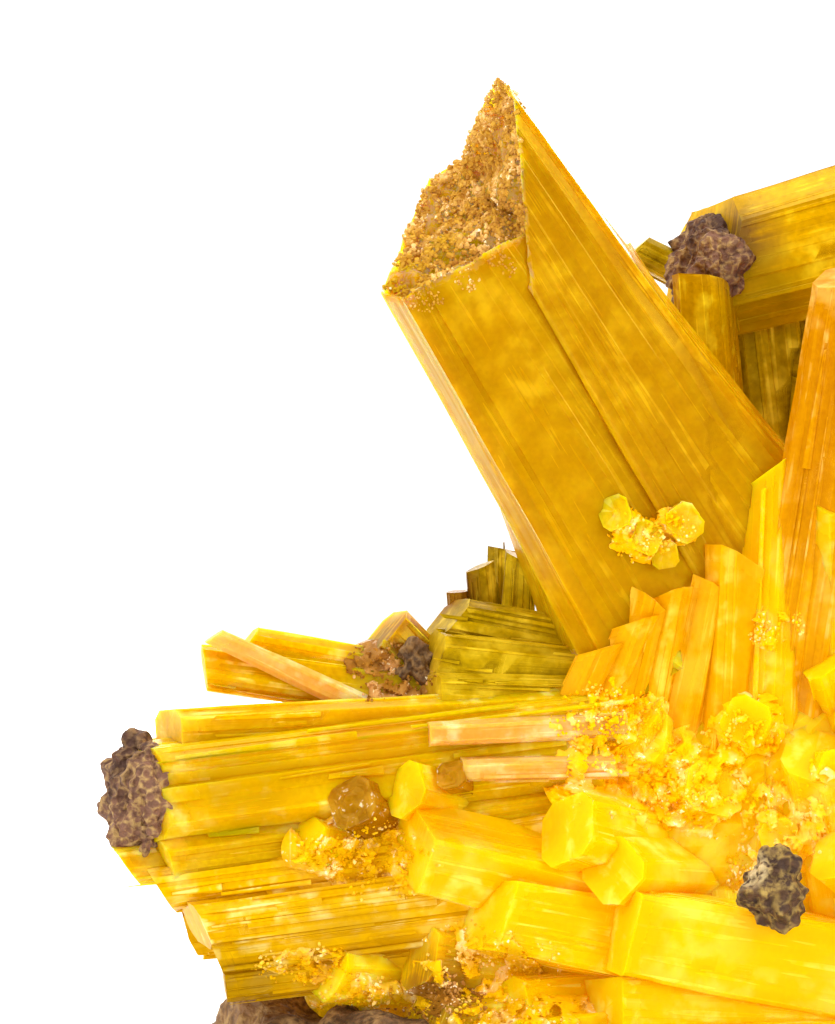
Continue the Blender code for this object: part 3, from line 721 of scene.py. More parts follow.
def grains(name, found, material, size, stretch, lean, seed):
    """Sugar: small six-sided crystals on their seats, each leaning and cut off in its own way.

    Every grain is a ring of six points below its seat, a narrower, sloping ring above it, and a
    middle point to close each end.
    """
    rng = np.random.default_rng(seed)
    seats, outward = (np.concatenate(both) for both in zip(*found))
    count = len(seats)
    up = outward + lean * rng.normal(size=(count, 3))
    up /= np.linalg.norm(up, axis=1, keepdims=True)
    side = np.cross(rng.normal(size=(count, 3)), up)
    side /= np.linalg.norm(side, axis=1, keepdims=True)
    front = np.cross(up, side)
    radius = rng.uniform(*size, count)
    tall = radius * rng.uniform(*stretch, count)
    angle = 2 * np.pi * np.arange(GRAIN_SIDES) / GRAIN_SIDES
    ring = np.stack([np.cos(angle), np.sin(angle) * 0.8], axis=1)
    narrow = 0.85 * ring
    slope = rng.uniform(-0.7, 0.7, count)
    slanted = tall[:, None] + slope[:, None] * narrow[:, 0] * radius[:, None]
    rings = []
    for flat, height in ((ring, -0.8 * radius[:, None]), (narrow, slanted)):
        across = radius[:, None, None] * (
            flat[:, :1] * side[:, None] + flat[:, 1:] * front[:, None])
        rings.append(seats[:, None] + across + height[..., None] * up[:, None])
    middles = [r.mean(axis=1, keepdims=True) for r in rings]
    peak = 0.25 * radius * rng.uniform(0, 1, count)
    middles[1] = middles[1] + peak[:, None, None] * up[:, None]
    points = np.concatenate([*rings, *middles], axis=1)
    quads, triangles = closed_grid((2, GRAIN_SIDES), GRAIN_POINTS - 2, GRAIN_POINTS - 1)
    start = GRAIN_POINTS * np.arange(count)[:, None, None]
    quads, triangles = (quads + start).reshape(-1, 4), (triangles + start).reshape(-1, 3)
    points = points.reshape(-1, 3)
    each = np.repeat(rng.random(count), GRAIN_POINTS)
    spread = np.repeat(rng.uniform(0, 90, (count, 3)), GRAIN_POINTS, axis=0)
    mesh = mesh_of(name, points, quads, triangles, {
        "track": points + spread,
        "grown": np.stack([each, each, 0.5 + 0.5 * noise(points / 0.8, 90)], axis=1),
        "worn": np.stack([1 + 0 * each, 0 * each, 0 * each], axis=1),
    })
    piece = bpy.data.objects.new(name, mesh)
    scene.collection.objects.link(piece)
    return finished(piece, "legrandite_spray", material)


def tree_of(pieces):
    """A search tree, in millimetres, of all the faces of some pieces."""
    points, faces = [], []
    for piece in pieces:
        mesh = piece.data
        own = np.empty(3 * len(mesh.vertices), np.float32)
        mesh.vertices.foreach_get("co", own)
        mesh.calc_loop_triangles()
        corners = np.empty(3 * len(mesh.loop_triangles), np.int32)
        mesh.loop_triangles.foreach_get("vertices", corners)
        faces.append(corners.reshape(-1, 3) + sum(map(len, points)))
        points.append(own.reshape(-1, 3) / MM)
    return BVHTree.FromPolygons(np.concatenate(points).tolist(), np.concatenate(faces).tolist())


IN_FRONT = -30.0  # a Y before the whole specimen


def patch_seats(tree, patch, seed):
    """Places on whatever a patch covers, seen from the front, and the ways that they face.

    Random points of an ellipse in the plane of X and Z are carried back along Y to the first
    face that they meet. Noise leaves ragged holes in the patch, more of them towards its edge.
    """
    x, z, across, high, count = patch
    rng = np.random.default_rng(seed)
    far, turn = np.sqrt(rng.random(count)), rng.uniform(0, 2 * np.pi, count)
    starts = np.stack([
        x + across * far * np.cos(turn), np.full(count, IN_FRONT), z + high * far * np.sin(turn),
    ], axis=1)
    starts = starts[noise(starts / 0.9, seed) + 0.9 - 1.1 * far > 0]
    hits = [tree.ray_cast(Vector(start), Vector((0, 1, 0)), 40) for start in starts]
    met = [(hit, normal) for hit, normal, _, _ in hits if hit]
    return np.array([m[0] for m in met]), np.array([m[1] for m in met])


MAIN_FINISH = Finish(110, 60, 0.003, rings=40, pits=0.6, grain=1.1, tilt=0.05)
prism_piece = spray_piece("main_prism", MAIN_PRISM, MAIN_FINISH, AMBER)
prism_tree = tree_of([prism_piece])
END_GRAINS = 5200
ends = [end_seats(MAIN_PRISM[number], END_GRAINS, 60 + number, prism_tree) for number in (0, 1)]
SIDES = [(-10.9, 46.5, 0.8, 1.3, 300), (-11.6, 44.9, 0.8, 1.5, 300)]
ends += [patch_seats(prism_tree, patch, 64 + number) for number, patch in enumerate(SIDES)]
SUGAR = legrandite("brown sugar", (0.4, 0.17, 0.03), (0.74, 0.41, 0.03), (0.95, 0.64, 0.27),
                   wisps=0.8, glow=0, clear=0, soft=False, emitted_glow=0.08, rough=0.3, glints=0.9,
                   stains=[((-13.2, -5.5, 42.0), 2.0, (0.5, 0.28, 0.0)),
                           ((-14.4, -5.5, 39.4), 1.6, (0.5, 0.28, 0.0))])
grains("main_prism_sugar", ends, SUGAR, (0.03, 0.13), (0.3, 1.1), 0.6, 61)
# Past the rough end's edge, finer sugar thins out over the smooth face.
EDGES = [(-13.4, 38.7, 1.0, 0.6, 110), (-11.7, 39.4, 1.2, 0.6, 110), (-10.2, 40.0, 0.8, 0.8, 110),
         (-9.8, 41.6, 0.4, 1.4, 90), (-10.1, 43.9, 0.3, 1.6, 90)]
edges = [patch_seats(prism_tree, patch, 66 + number) for number, patch in enumerate(EDGES)]
grains("main_prism_crumbs", edges, SUGAR, (0.02, 0.07), (0.2, 0.8), 0.4, 63)
GOLD = legrandite("golden legrandite", (0.54, 0.27, 0.0), (0.94, 0.6, 0.0), (1.0, 0.84, 0.2),
                  wisps=0.8, milk=0.15,
                  stains=[((-20.5, -5.5, 19.3), 3.4, (0.56, 0.31, 0.0)),
                          ((-14.4, -1.6, 24.6), 2.6, RUST), ((-15.6, -5.5, 21.0), 2.6, DARK_AMBER)])
DRUSE_FINISH = Finish(16, 5, 0.02, rings=8, pits=0.15, grain=0.7)
spray_piece("main_prism_druse", MAIN_PRISM_DRUSE, DRUSE_FINISH, GOLD)

# The left sheaf. Thin crystals of legrandite that grew out of the heart side by side, to the left,
# with deep grooves between them, in shades of gold from one to the next.

LEFT_SHEAF = [
    Crystal((-6.5, -2.5, 22.2), (-23.6, -3.4, 21.4), 2.0, 3.6, roll=4, end=(0, -0.3, 0)),
    Crystal((-6.5, -3.5, 22.0), (-24.6, -4.4, 19.9), 2.3, 3.4, roll=-8, end=(0, -0.5, 0)),
    Crystal((-6.5, -3.6, 20.4), (-24.6, -4.8, 18.2), 2.7, 3.6, roll=12, end=(0, -0.6, 0)),
    Crystal((-7.5, -3.4, 18.8), (-24.2, -4.4, 16.5), 2.2, 3.6, roll=-14, end=(0, -0.4, -0.2)),
    Crystal((-6.5, -0.6, 20.8), (-24.2, -1.4, 19.3), 3.8, 3.2, roll=8, end=(0, 0.3, 0)),
    Crystal((-18.0, -4.2, 17.0), (-25.3, -4.4, 16.2), 1.7, 2.0, roll=20, end=(0, 0, -0.6)),
]
SHEAF_FINISH = Finish(40, 26, 0.035, splinter=0.8, splinters=9)
spray_piece("left_sheaf", LEFT_SHEAF, SHEAF_FINISH, GOLD)

# The lower sheaf. The same kind of crystals under it, paler and split lengthwise into splinters,
# grown out of the heart close above the limonite.

LOWER_SHEAF = [
    Crystal((-7.5, -3.8, 17.4), (-23.9, -4.2, 15.2), 2.0, 3.6, roll=10, end=(0, 0, -0.5)),
    Crystal((-7.5, -4.4, 15.9), (-22.5, -5.2, 13.9), 2.1, 3.4, roll=-8, end=(0, -0.2, -0.3)),
    Crystal((-8.5, -4.4, 14.3), (-21.7, -5.0, 12.6), 1.9, 3.4, roll=16, end=(0, 0, -0.3)),
    Crystal((-9.5, -3.8, 13.2), (-21.4, -4.4, 11.7), 1.8, 3.2, roll=-12),
    Crystal((-7.5, -1.0, 15.2), (-22.6, -1.4, 13.9), 3.6, 3.4, roll=6, end=(0, 0.3, -0.2)),
    Crystal((-2.0, 0.6, 12.6), (-15.5, -1.2, 11.6), 4.2, 4.4, roll=10),
]
SPLIT = legrandite("split legrandite", (0.62, 0.3, 0.0), (0.94, 0.59, 0.0), (1.0, 0.87, 0.28),
                   wisps=1.0, soft=False, emitted_glow=0.13, milk=0.3,
                   stains=[((-16.0, -6.5, 11.6), 4.4, (0.5, 0.25, 0.0)),
                           ((-20.8, -5.5, 11.6), 2.6, (0.36, 0.18, 0.0))])
spray_piece("lower_sheaf", LOWER_SHEAF, SHEAF_FINISH._replace(splinters=24, relief=0.05), SPLIT)

# The blade fan. Thin blades of golden legrandite that spread upward to the left, grown onto the
# upper side of the left sheaf.

BLADE_FAN = [
    Crystal((-13.0, -1.6, 22.6), (-22.2, -2.4, 23.9), 1.8, 1.6, roll=25, end=(0.1, 0, -0.25)),
    Crystal((-12.5, -0.6, 23.0), (-20.7, -1.4, 24.6), 2.0, 2.2, roll=10, end=(0, 0, 0.5)),
    Crystal((-12.5, -0.4, 22.6), (-15.0, -1.0, 25.3), 2.4, 2.2, roll=15, end=(-0.2, -0.2, 0.2)),
]
spray_piece("blade_fan", BLADE_FAN, Finish(24, 16, 0.03, splinters=4), GOLD)

# The pink blade. A thin, flat crystal of legrandite in front of the fan, grown into it at the foot.
# Fine cracks inside it turn it pinkish white.

PALE = legrandite("pale legrandite", (0.72, 0.31, 0.04), (0.88, 0.5, 0.13), (0.94, 0.7, 0.34),
                  wisps=1.0, glow=0.2)
PINK_BLADE = [
    Crystal((-15.9, -2.6, 22.4), (-21.8, -3.2, 25.2), 1.0, 0.9, taper=0.75, end=(0.3, 0, 0.5)),
]
spray_piece("pink_blade", PINK_BLADE, Finish(16, 12, 0.04), PALE)

# The olive bundle. Darker, greener crystals of legrandite, grown side by side between the main
# prism and the left sheaf, with thin stubs standing on them.

OLIVE_BUNDLE = [
    Crystal((-4.6, 0.0, 24.2), (-12.5, -0.7, 25.8), 1.9, 2.6, roll=8, end=(0.2, -0.2, 0.5)),
    Crystal((-4.6, -1.4, 23.4), (-13.1, -2.3, 24.4), 2.1, 2.8, roll=-6, end=(0, -0.2, 0.2)),
    Crystal((-5.2, -2.2, 22.6), (-13.2, -3.0, 22.9), 1.7, 2.6, roll=10, end=(0, -0.3, 0)),
    Crystal((-10.9, 0.9, 24.4), (-11.2, 0.6, 27.8), 1.2, 1.1, roll=10, end=(-0.3, 0, 0)),
    Crystal((-9.8, 0.9, 24.4), (-9.6, 0.4, 28.2), 1.2, 1.3, roll=-15, end=(0.4, 0, 0)),
    Crystal((-11.9, 0.7, 24.2), (-12.1, 0.5, 26.8), 0.9, 0.9, roll=30),
    Crystal((-10.2, 2.2, 24.0), (-10.2, 2.4, 28.4), 1.2, 1.4, roll=40, end=(0.2, 0, 0)),
]
OLIVE = legrandite("olive legrandite", (0.17, 0.09, 0.0), (0.76, 0.48, 0.001), (1.0, 0.74, 0.04),
                   wisps=0.9, glow=0.4, soft=False,
                   stains=[((-14.5, -2.4, 23.8), 2.4, RUST), ((-12.4, 0.5, 26.8), 1.6, RUST)])
spray_piece("olive_bundle", OLIVE_BUNDLE, Finish(30, 18, 0.04, splinter=0.5, splinters=10), OLIVE)

# The pale slabs. Two flat crystals of the same pale legrandite as the pink blade, grown onto the
# front of the left sheaf.

PALE_SLABS = [
    Crystal((-5.5, -4.4, 21.7), (-13.3, -5.3, 21.4), 1.1, 2.2, roll=6),
    Crystal((-6.0, -4.8, 20.2), (-12.0, -5.6, 20.1), 1.0, 2.0, roll=-6),
]
spray_piece("pale_slabs", PALE_SLABS, Finish(24, 14, 0.04, splinters=8), PALE)

# The front blocks. Thick bricks of lemon legrandite that grew out of the heart across the front,
# broken off square at their left ends and parted across here and there, with shorter knobs
# between them.

# A brick's outline, nearly square, with its corners just taken off.
BRICK = (
    (0.5, -0.44), (0.5, 0.44), (0.44, 0.5), (-0.44, 0.5),
    (-0.5, 0.44), (-0.5, -0.44), (-0.44, -0.5), (0.44, -0.5),
)
BRICKS = [
    Crystal((-4.8, -4.4, 14.8), (-13.9, -6.8, 17.1), 3.0, 3.2, roll=-32, end=(0.1, -0.2, -0.2)),
    Crystal((-2.4, -4.6, 12.6), (-11.0, -7.2, 14.4), 3.2, 3.2, roll=6, end=(0.1, -0.3, 0.2)),
    Crystal((5.6, -4.4, 11.6), (-5.9, -7.5, 13.9), 3.8, 3.4, roll=-5, end=(0.1, -0.2, 0)),
    Crystal((7.6, -3.6, 9.8), (-6.4, -6.9, 10.7), 2.6, 3.6, roll=8, end=(0, -0.3, 0)),
    Crystal((9.6, -4.0, 9.0), (-2.8, -8.2, 8.7), 3.0, 3.2, roll=-12, end=(0, -0.3, 0.2)),
    Crystal((3.0, -3.0, 9.6), (-9.8, -7.4, 8.9), 2.6, 3.0, roll=16, end=(0, -0.2, -0.2)),
    Crystal((-1.0, -2.0, 10.4), (-13.4, -6.4, 10.2), 2.4, 2.8, roll=-20, end=(0, -0.2, 0.3)),
]
KNOBS = [
    Crystal((-4.0, -3.0, 16.4), (-7.8, -7.6, 17.8), 3.2, 3.0, roll=20, end=(-0.2, 0, 0.3)),
    Crystal((-2.6, -3.0, 15.6), (-6.0, -7.9, 16.2), 2.8, 2.6, roll=50, end=(0.1, 0, 0.2)),
    Crystal((-11.4, -3.0, 18.4), (-14.2, -6.4, 19.3), 2.4, 2.2, roll=35, end=(-0.2, 0, 0.2)),
    Crystal((-15.0, -3.0, 16.2), (-18.2, -6.2, 17.3), 2.0, 1.9, roll=-25, end=(0, 0, 0.4)),
    Crystal((-9.0, -3.0, 11.8), (-13.6, -6.4, 12.6), 2.6, 2.6, roll=18, end=(-0.2, 0, 0.3)),
    Crystal((-12.0, -2.6, 11.4), (-17.2, -5.8, 12.0), 2.4, 2.4, roll=-18, end=(0, 0, 0.3)),
    Crystal((-5.0, -3.0, 10.4), (-10.2, -6.8, 10.6), 2.6, 2.6, roll=30, end=(0.2, 0, 0.2)),
    Crystal((3.4, -3.4, 14.0), (2.0, -5.4, 20.6), 2.6, 2.6, roll=10, end=(0.2, -0.8, 0.1)),
    Crystal((5.6, -3.0, 13.0), (4.2, -5.4, 22.0), 2.8, 2.6, roll=-20, end=(0.2, -0.6, 0)),
    Crystal((9.0, -2.0, 12.0), (3.0, -7.0, 16.8), 2.6, 2.8, roll=20, end=(0, -0.3, 0.3)),
]
FRONT_BLOCKS = [brick._replace(outline=BRICK) for brick in BRICKS] + KNOBS
AMBER_TOP = [((-12.8, -7.7, 18.5), 1.9, DARK_AMBER), ((-11.2, -7.5, 18.4), 1.9, DARK_AMBER),
             ((-9.6, -7.3, 18.2), 1.9, DARK_AMBER)]
LEMON = legrandite("lemon legrandite", (0.9, 0.46, 0.0), (0.98, 0.61, 0.0), (1.0, 0.78, 0.1),
                   wisps=0.8, emitted_glow=0.11, milk=0.5,
                   stains=[((-12.9, -6.5, 11.2), 2.6, RUST), *AMBER_TOP])
BLOCK_FINISH = Finish(36, 24, 0.004, rings=8, cracks=1, splinters=2)
spray_piece("front_blocks", FRONT_BLOCKS, BLOCK_FINISH, LEMON)

# The brown gems. Two stubby, clear crystals of legrandite in front of the left sheaf, grown into
# it, and stained a deep brown amber by iron.

BROWN_GEMS = [
    Crystal((-14.2, -3.0, 17.6), (-16.3, -6.6, 18.8), 2.3, 2.0, roll=30, end=(0.1, 0, 0.2)),
    Crystal((-11.2, -3.4, 19.0), (-12.4, -6.5, 19.9), 1.3, 1.2, roll=12, end=(0.2, 0, 0.4)),
]
GEM = legrandite("brown amber legrandite", (0.3, 0.11, 0.0), (0.62, 0.29, 0.001), (0.8, 0.4, 0.02),
                 wisps=0.6, glow=0, clear=0.5, soft=False, emitted_glow=0.08, rough=0.05, glints=0.9)
spray_piece("brown_gems", BROWN_GEMS, Finish(20, 8, 0.02, rings=8, pits=0.15), GEM)

# The inner columns. Upright crystals of yolk yellow legrandite, grown side by side out of the heart
# between the front blocks and the tall sheaf.

INNER_COLUMNS = [
    Crystal((2.2, -2.6, 16.0), (2.4, -1.8, 33.0), 3.2, 3.2, roll=-5, end=(-0.4, -0.5, 0)),
    Crystal((4.8, -2.0, 16.0), (4.4, -3.2, 32.6), 3.2, 3.2, roll=14, end=(0.3, -0.4, 0)),
    Crystal((-3.2, -2.0, 15.0), (-5.2, -4.2, 22.0), 2.6, 2.4, roll=-16, end=(-0.4, -0.6, 0)),
    Crystal((-0.2, -3.8, 14.0), (0.6, -2.4, 31.5), 2.8, 3.4, taper=0.8, roll=4, end=(-0.6, 0.4, 0)),
    Crystal((3.0, -2.6, 14.0), (2.6, -3.6, 31.0), 2.4, 2.4, taper=0.8, roll=-8, end=(0.2, -0.8, 0)),
    Crystal((6.6, -1.4, 16.0), (5.4, -4.8, 26.6), 2.8, 2.8, roll=18, end=(0.3, -0.5, 0)),
]
YOLK = legrandite("yolk legrandite", (0.88, 0.43, 0.0), (1.0, 0.56, 0.0), (1.0, 0.78, 0.12),
                  glow=0.5, emitted_glow=0.14, wisps=0.7, milk=0.4)
INNER_FINISH = Finish(32, 22, 0.012, rings=8, cracks=1, splinters=6)
spray_piece("inner_columns", INNER_COLUMNS, INNER_FINISH, YOLK)

# The leaning columns. Apricot crystals of legrandite that stand close together before the main
# prism's foot, grown against it.

LEANING_COLUMNS = [
    Crystal((-4.9, -2.6, 19.5), (-3.5, -3.9, 26.9), 1.6, 2.2, roll=10, end=(-0.5, 0.4, 0)),
    Crystal((-3.6, -2.6, 18.5), (-1.9, -3.5, 27.0), 1.8, 2.4, roll=-6, end=(0.4, 0.4, 0)),
    Crystal((-7.0, -2.8, 20.5), (-5.0, -4.4, 25.8), 1.8, 2.0, roll=10, end=(-0.6, 0.4, 0)),
    Crystal((-8.0, -2.8, 20.8), (-6.3, -4.4, 24.8), 1.7, 1.8, roll=4, end=(-0.6, 0.4, 0)),
    Crystal((-1.4, -2.8, 16.0), (-1.0, -3.4, 28.2), 2.2, 2.8, roll=2, end=(0.4, 0.4, 0)),
    Crystal((-6.0, -2.8, 19.0), (-4.3, -4.2, 26.5), 1.7, 2.2, roll=-14, end=(0.5, 0.4, 0)),
]
APRICOT = legrandite("apricot legrandite", (0.66, 0.26, 0.0), (0.9, 0.46, 0.0), (1.0, 0.7, 0.08),
                     glow=0.35, emitted_glow=0.13, wisps=0.6, soft=False)
spray_piece("leaning_columns", LEANING_COLUMNS, Finish(28, 20, 0.02, rings=6, splinters=6), APRICOT)

# The tall sheaf. Long orange crystals of legrandite that stand nearly upright at the right, grown
# together for most of their length.

TALL_SHEAF = [
    Crystal((-0.8, -1.8, 22.0), (5.0, -3.4, 42.0), 2.5, 2.8, roll=8, end=(-0.3, 0, 0)),
    Crystal((1.6, -1.6, 22.0), (7.2, -2.6, 45.6), 3.0, 3.2, roll=-12, end=(-0.4, -0.2, 0)),
    Crystal((3.2, -1.2, 21.0), (9.6, -1.6, 47.4), 3.6, 3.6, roll=10, end=(0.2, -0.3, 0)),
    Crystal((4.6, -0.8, 20.0), (12.6, -0.8, 46.2), 3.6, 3.8, roll=-8, end=(0.5, -0.2, 0)),
    Crystal((5.8, -0.6, 19.0), (14.2, -2.2, 41.0), 3.2, 3.2, roll=14, end=(0.3, 0, 0.2)),
    Crystal((4.0, 1.6, 20.0), (10.6, 3.6, 44.4), 3.8, 3.6, roll=20, end=(0, 0.3, 0)),
    Crystal((2.0, 3.2, 22.0), (5.6, 3.4, 41.0), 6.4, 3.4, roll=8, end=(-0.4, 0, 0)),
    Crystal((1.4, -2.4, 20.0), (4.2, -3.8, 37.5), 3.0, 2.8, roll=4, end=(-0.3, -0.3, 0)),
    Crystal((0.2, -2.6, 20.0), (3.2, -3.6, 39.5), 2.6, 2.6, taper=0.8, roll=-4,
            end=(-0.3, -0.3, 0)),
]
ORANGE = legrandite("orange legrandite", (0.5, 0.16, 0.0), (0.86, 0.4, 0.0), (1.0, 0.66, 0.16),
                    wisps=0.6, glow=0.45, soft=False, emitted_glow=0.1)
TALL_FINISH = Finish(44, 30, 0.012, splinter=0.5, cracks=1, splinters=12)
spray_piece("tall_sheaf", TALL_SHEAF, TALL_FINISH, ORANGE)

# The crossing prism. A thick crystal of olive gold legrandite that lies across the back, grown into
# the tall sheaf, and stained dark beside the crust on its left end.

OLIVE_GOLD = legrandite(
    "olive gold legrandite", (0.42, 0.2, 0.0), (0.92, 0.53, 0.0), (1.0, 0.76, 0.02),
    wisps=0.9, glow=0.1, soft=False, emitted_glow=0.12, milk=0.1,
    stains=[((-1.2, 1.4, 40.6), 2.6, (0.14, 0.06, 0.02)),
            ((0.0, 1.2, 38.4), 2.6, (0.36, 0.2, 0.0))])
CROSSING_PRISM = [
    Crystal((9.6, 4.6, 42.4), (-2.3, 3.8, 39.3), 6.2, 6.0, taper=0.86, roll=6,
            end=(0, -0.4, 0.45), ledges=2),
]
CROSSING_FINISH = Finish(70, 30, 0.006, rings=8, splinters=5)
spray_piece("crossing_prism", CROSSING_PRISM, CROSSING_FINISH, OLIVE_GOLD)

# The small prism. One crystal of the same legrandite, grown up between the main prism and the
# crossing one.

SMALL_PRISM = [
    Crystal((-1.8, 1.8, 33.0), (-2.3, 0.9, 39.2), 2.5, 2.4, roll=12, end=(0.2, 0.4, 0)),
]
spray_piece("small_prism", SMALL_PRISM, Finish(30, 20, 0.01, rings=8, splinters=2), OLIVE_GOLD)

# The shaded prisms. Olive crystals of legrandite that grew up behind those, dark in their shade,
# and a thin one at the main prism's shoulder.

SHADED_PRISMS = [
    Crystal((1.0, 5.4, 37.4), (-4.9, 5.4, 40.4), 1.4, 1.6, roll=10, end=(0, 0, 0.6)),
    Crystal((2.0, 4.6, 24.0), (0.2, 4.2, 39.0), 4.2, 4.0, roll=-10),
    Crystal((2.6, 4.0, 26.0), (3.6, 4.2, 40.0), 5.0, 3.4, roll=6),
]
spray_piece("shaded_prisms", SHADED_PRISMS, Finish(44, 26, 0.03, splinters=10), OLIVE)

# The right and back sprays. Thick orange and golden crystals of legrandite that grew out of the
# heart to the right and to the back.

RIGHT_SPRAY = [
    Crystal((5.0, 0.0, 21.0), (18.8, -2.4, 40.0), 4.2, 4.0, roll=8, end=(0.2, -0.3, 0), ledges=2),
    Crystal((5.0, -0.6, 20.0), (23.2, -3.4, 33.4), 4.6, 4.4, roll=-10, end=(0.3, 0, 0), ledges=2),
    Crystal((5.0, -0.4, 18.0), (25.0, -1.6, 24.4), 4.8, 4.6, roll=6, end=(0.3, 0, -0.2), ledges=3),
    Crystal((5.0, -1.6, 16.0), (23.4, -5.6, 17.4), 4.0, 3.8, roll=-14, end=(0, -0.3, -0.2)),
    Crystal((6.0, -1.0, 14.4), (20.8, -2.4, 13.0), 3.2, 3.4, roll=16),
    Crystal((6.0, -2.6, 16.0), (15.8, -11.2, 19.6), 3.8, 3.6, roll=20, end=(0, -0.2, 0.2)),
    Crystal((5.6, -2.6, 18.0), (12.6, -9.4, 26.8), 3.8, 3.6, roll=-8, end=(0, -0.2, 0.2)),
    Crystal((6.0, -2.0, 15.0), (18.4, -9.0, 13.6), 3.4, 3.6, roll=14, end=(0, -0.3, 0)),
    Crystal((6.0, 1.0, 20.0), (21.4, 5.6, 28.6), 4.0, 3.8, roll=12, end=(0, 0.3, 0)),
]
spray_piece("right_spray", RIGHT_SPRAY, Finish(40, 26, 0.015, splinters=12), ORANGE)

BACK_SPRAY = [
    Crystal((0.0, 2.0, 20.0), (-4.6, 10.0, 30.4), 4.6, 4.2, roll=10, end=(0, 0.3, 0), ledges=2),
    Crystal((1.0, 2.0, 20.0), (3.4, 10.8, 33.4), 4.8, 4.4, roll=-12, end=(0.2, 0, 0), ledges=2),
    Crystal((3.0, 2.0, 20.0), (12.4, 10.2, 30.0), 4.4, 4.2, roll=14, end=(0, 0, -0.3)),
    Crystal((-1.0, 1.6, 18.6), (-13.6, 7.4, 22.2), 3.8, 4.0, roll=-8, end=(-0.3, 0, 0)),
    Crystal((-1.0, 1.6, 17.0), (-17.0, 4.6, 17.8), 4.0, 3.8, roll=10, end=(0, 0.2, -0.2)),
    Crystal((2.0, 2.0, 18.0), (0.6, 11.6, 22.0), 4.6, 4.2, roll=22, end=(0, 0, 0.3)),
    Crystal((4.0, 1.6, 18.0), (15.4, 9.0, 20.6), 4.4, 4.0, roll=-16, end=(0.2, 0, 0)),
    Crystal((0.0, 2.0, 18.0), (-8.6, 10.0, 19.6), 4.2, 4.0, roll=18, end=(0, 0.2, 0)),
]
spray_piece("back_spray", BACK_SPRAY, Finish(40, 20, 0.015, splinters=12), GOLD)

# The heart. The solid legrandite middle that every crystal grows out of, and small crystals all
# over it.


class Lump(NamedTuple):
    """A knobbly body: a ball of these half sizes, boxier as square falls, turned round Z."""

    centre: tuple
    radii: tuple
    rough: float  # how far the knobs stand out
    knob: float  # from one knob to the next
    square: float = 1
    turn: float = 0


def knob_waves():
    """The directions and starts of the waves that the CAD's knobs are made of."""
    rng = random.Random(3)
    waves = []
    for _ in range(6):
        way = Vector(rng.gauss(0, 1) for _ in range(3)).normalized()
        waves.append((*way, rng.uniform(0, 2 * math.pi)))
    return np.array(waves)


WAVES = knob_waves()
BIG_KNOBS, SMALL_KNOBS = 0.6, 0.3  # the shares of a lump's roughness that each kind stands out
FINER = 2.3  # how many small knobs take the place of a big one


def knobs(place):
    """A bumpy number at places in knob widths: sine waves in six directions, added up."""
    return np.sin(np.pi * place @ WAVES[:, :3].T + WAVES[:, 3]).sum(axis=-1) / math.sqrt(len(WAVES))


def lump(body, rows, crumbs, crumb, floor=None):
    """A squared ball with knobs on rings of latitude, and crumbs of finer noise over them.

    A point's direction picks the skin of the squared ball, each axis being its radius times the
    direction to the power square. From there the point moves outward by the knobs' height. Points
    below the floor rise to it and draw in, which makes the flat underside.
    """
    columns = 2 * rows
    rise = np.pi * ((np.arange(rows) + 0.5) / rows - 0.5)[:, None]
    round_ = 2 * np.pi * np.arange(columns) / columns
    even = np.stack(np.broadcast_arrays(
        np.cos(rise) * np.cos(round_), np.cos(rise) * np.sin(round_), np.sin(rise)), axis=-1)
    poles = np.array([(0, 0, -1.0), (0, 0, 1.0)])
    even = np.concatenate([even.reshape(-1, 3), poles])
    way = np.sign(even) * np.abs(even) ** (1 / body.square)
    way /= np.linalg.norm(way, axis=-1, keepdims=True)
    centre, radii = np.array(body.centre), np.array(body.radii)
    skin = np.sign(way) * np.abs(way) ** body.square * radii
    out = skin / radii**2
    out /= np.linalg.norm(out, axis=-1, keepdims=True)
    place = (skin + centre) / body.knob
    height = body.rough * (BIG_KNOBS * knobs(place) + SMALL_KNOBS * knobs(FINER * place))
    height = height + crumbs * layered_noise((skin + centre) / crumb, 40)
    turn = np.array(Matrix.Rotation(math.radians(body.turn), 3, "Z"))
    points = (skin + height[:, None] * out) @ turn.T + centre
    if floor is not None:
        sunk = np.maximum(floor - points[:, 2], 0)
        points[:, :2] -= (sunk / radii[2])[:, None] * (points[:, :2] - centre[:2])
        points[:, 2] += sunk
    quads, triangles = closed_grid((rows, columns), len(points) - 2, len(points) - 1)
    blank = np.zeros(len(points))
    track = np.stack([skin[:, 0] + skin[:, 1], skin[:, 2], blank], axis=-1)
    streak, cloud = 0.5 + 0.5 * noise(skin, 5), 0.5 + 0.5 * noise(skin / 3, 6)
    return mesh_of("lump", points, quads, triangles, {
        "track": track,
        "grown": np.stack([blank + 0.5, streak, cloud], axis=1),
        "worn": np.stack([blank + 1, blank, blank], axis=1),
    })


HEART = Lump((0.6, 0.4, 17.6), (9.6, 5.6, 8.2), rough=0.6, knob=5)
DRUSE_COUNT = 70


def druse():
    """Small crystals that stand out all over the heart, on a spiral of even steps."""
    rng = random.Random(7)
    centre, radii = Vector(HEART.centre), Vector(HEART.radii)
    for number in range(DRUSE_COUNT):
        height = 1 - 2 * (number + 0.5) / DRUSE_COUNT
        angle = number * math.pi * (3 - math.sqrt(5))
        flat = math.sqrt(1 - height**2)
        way = Vector((flat * math.cos(angle), flat * math.sin(angle), height))
        skin = centre + 0.85 * radii * way
        lean = Vector(rng.uniform(-0.5, 0.5) for _ in range(3))
        out = (Vector(w / r for w, r in zip(way, radii)).normalized() + lean).normalized()
        width = rng.uniform(1.6, 2.9)
        yield Crystal(
            tuple(skin - 2 * out), tuple(skin + rng.uniform(1.2, 2.8) * out), width,
            width * rng.uniform(0.7, 1), roll=rng.uniform(0, 90), end=tuple(lean),
        )


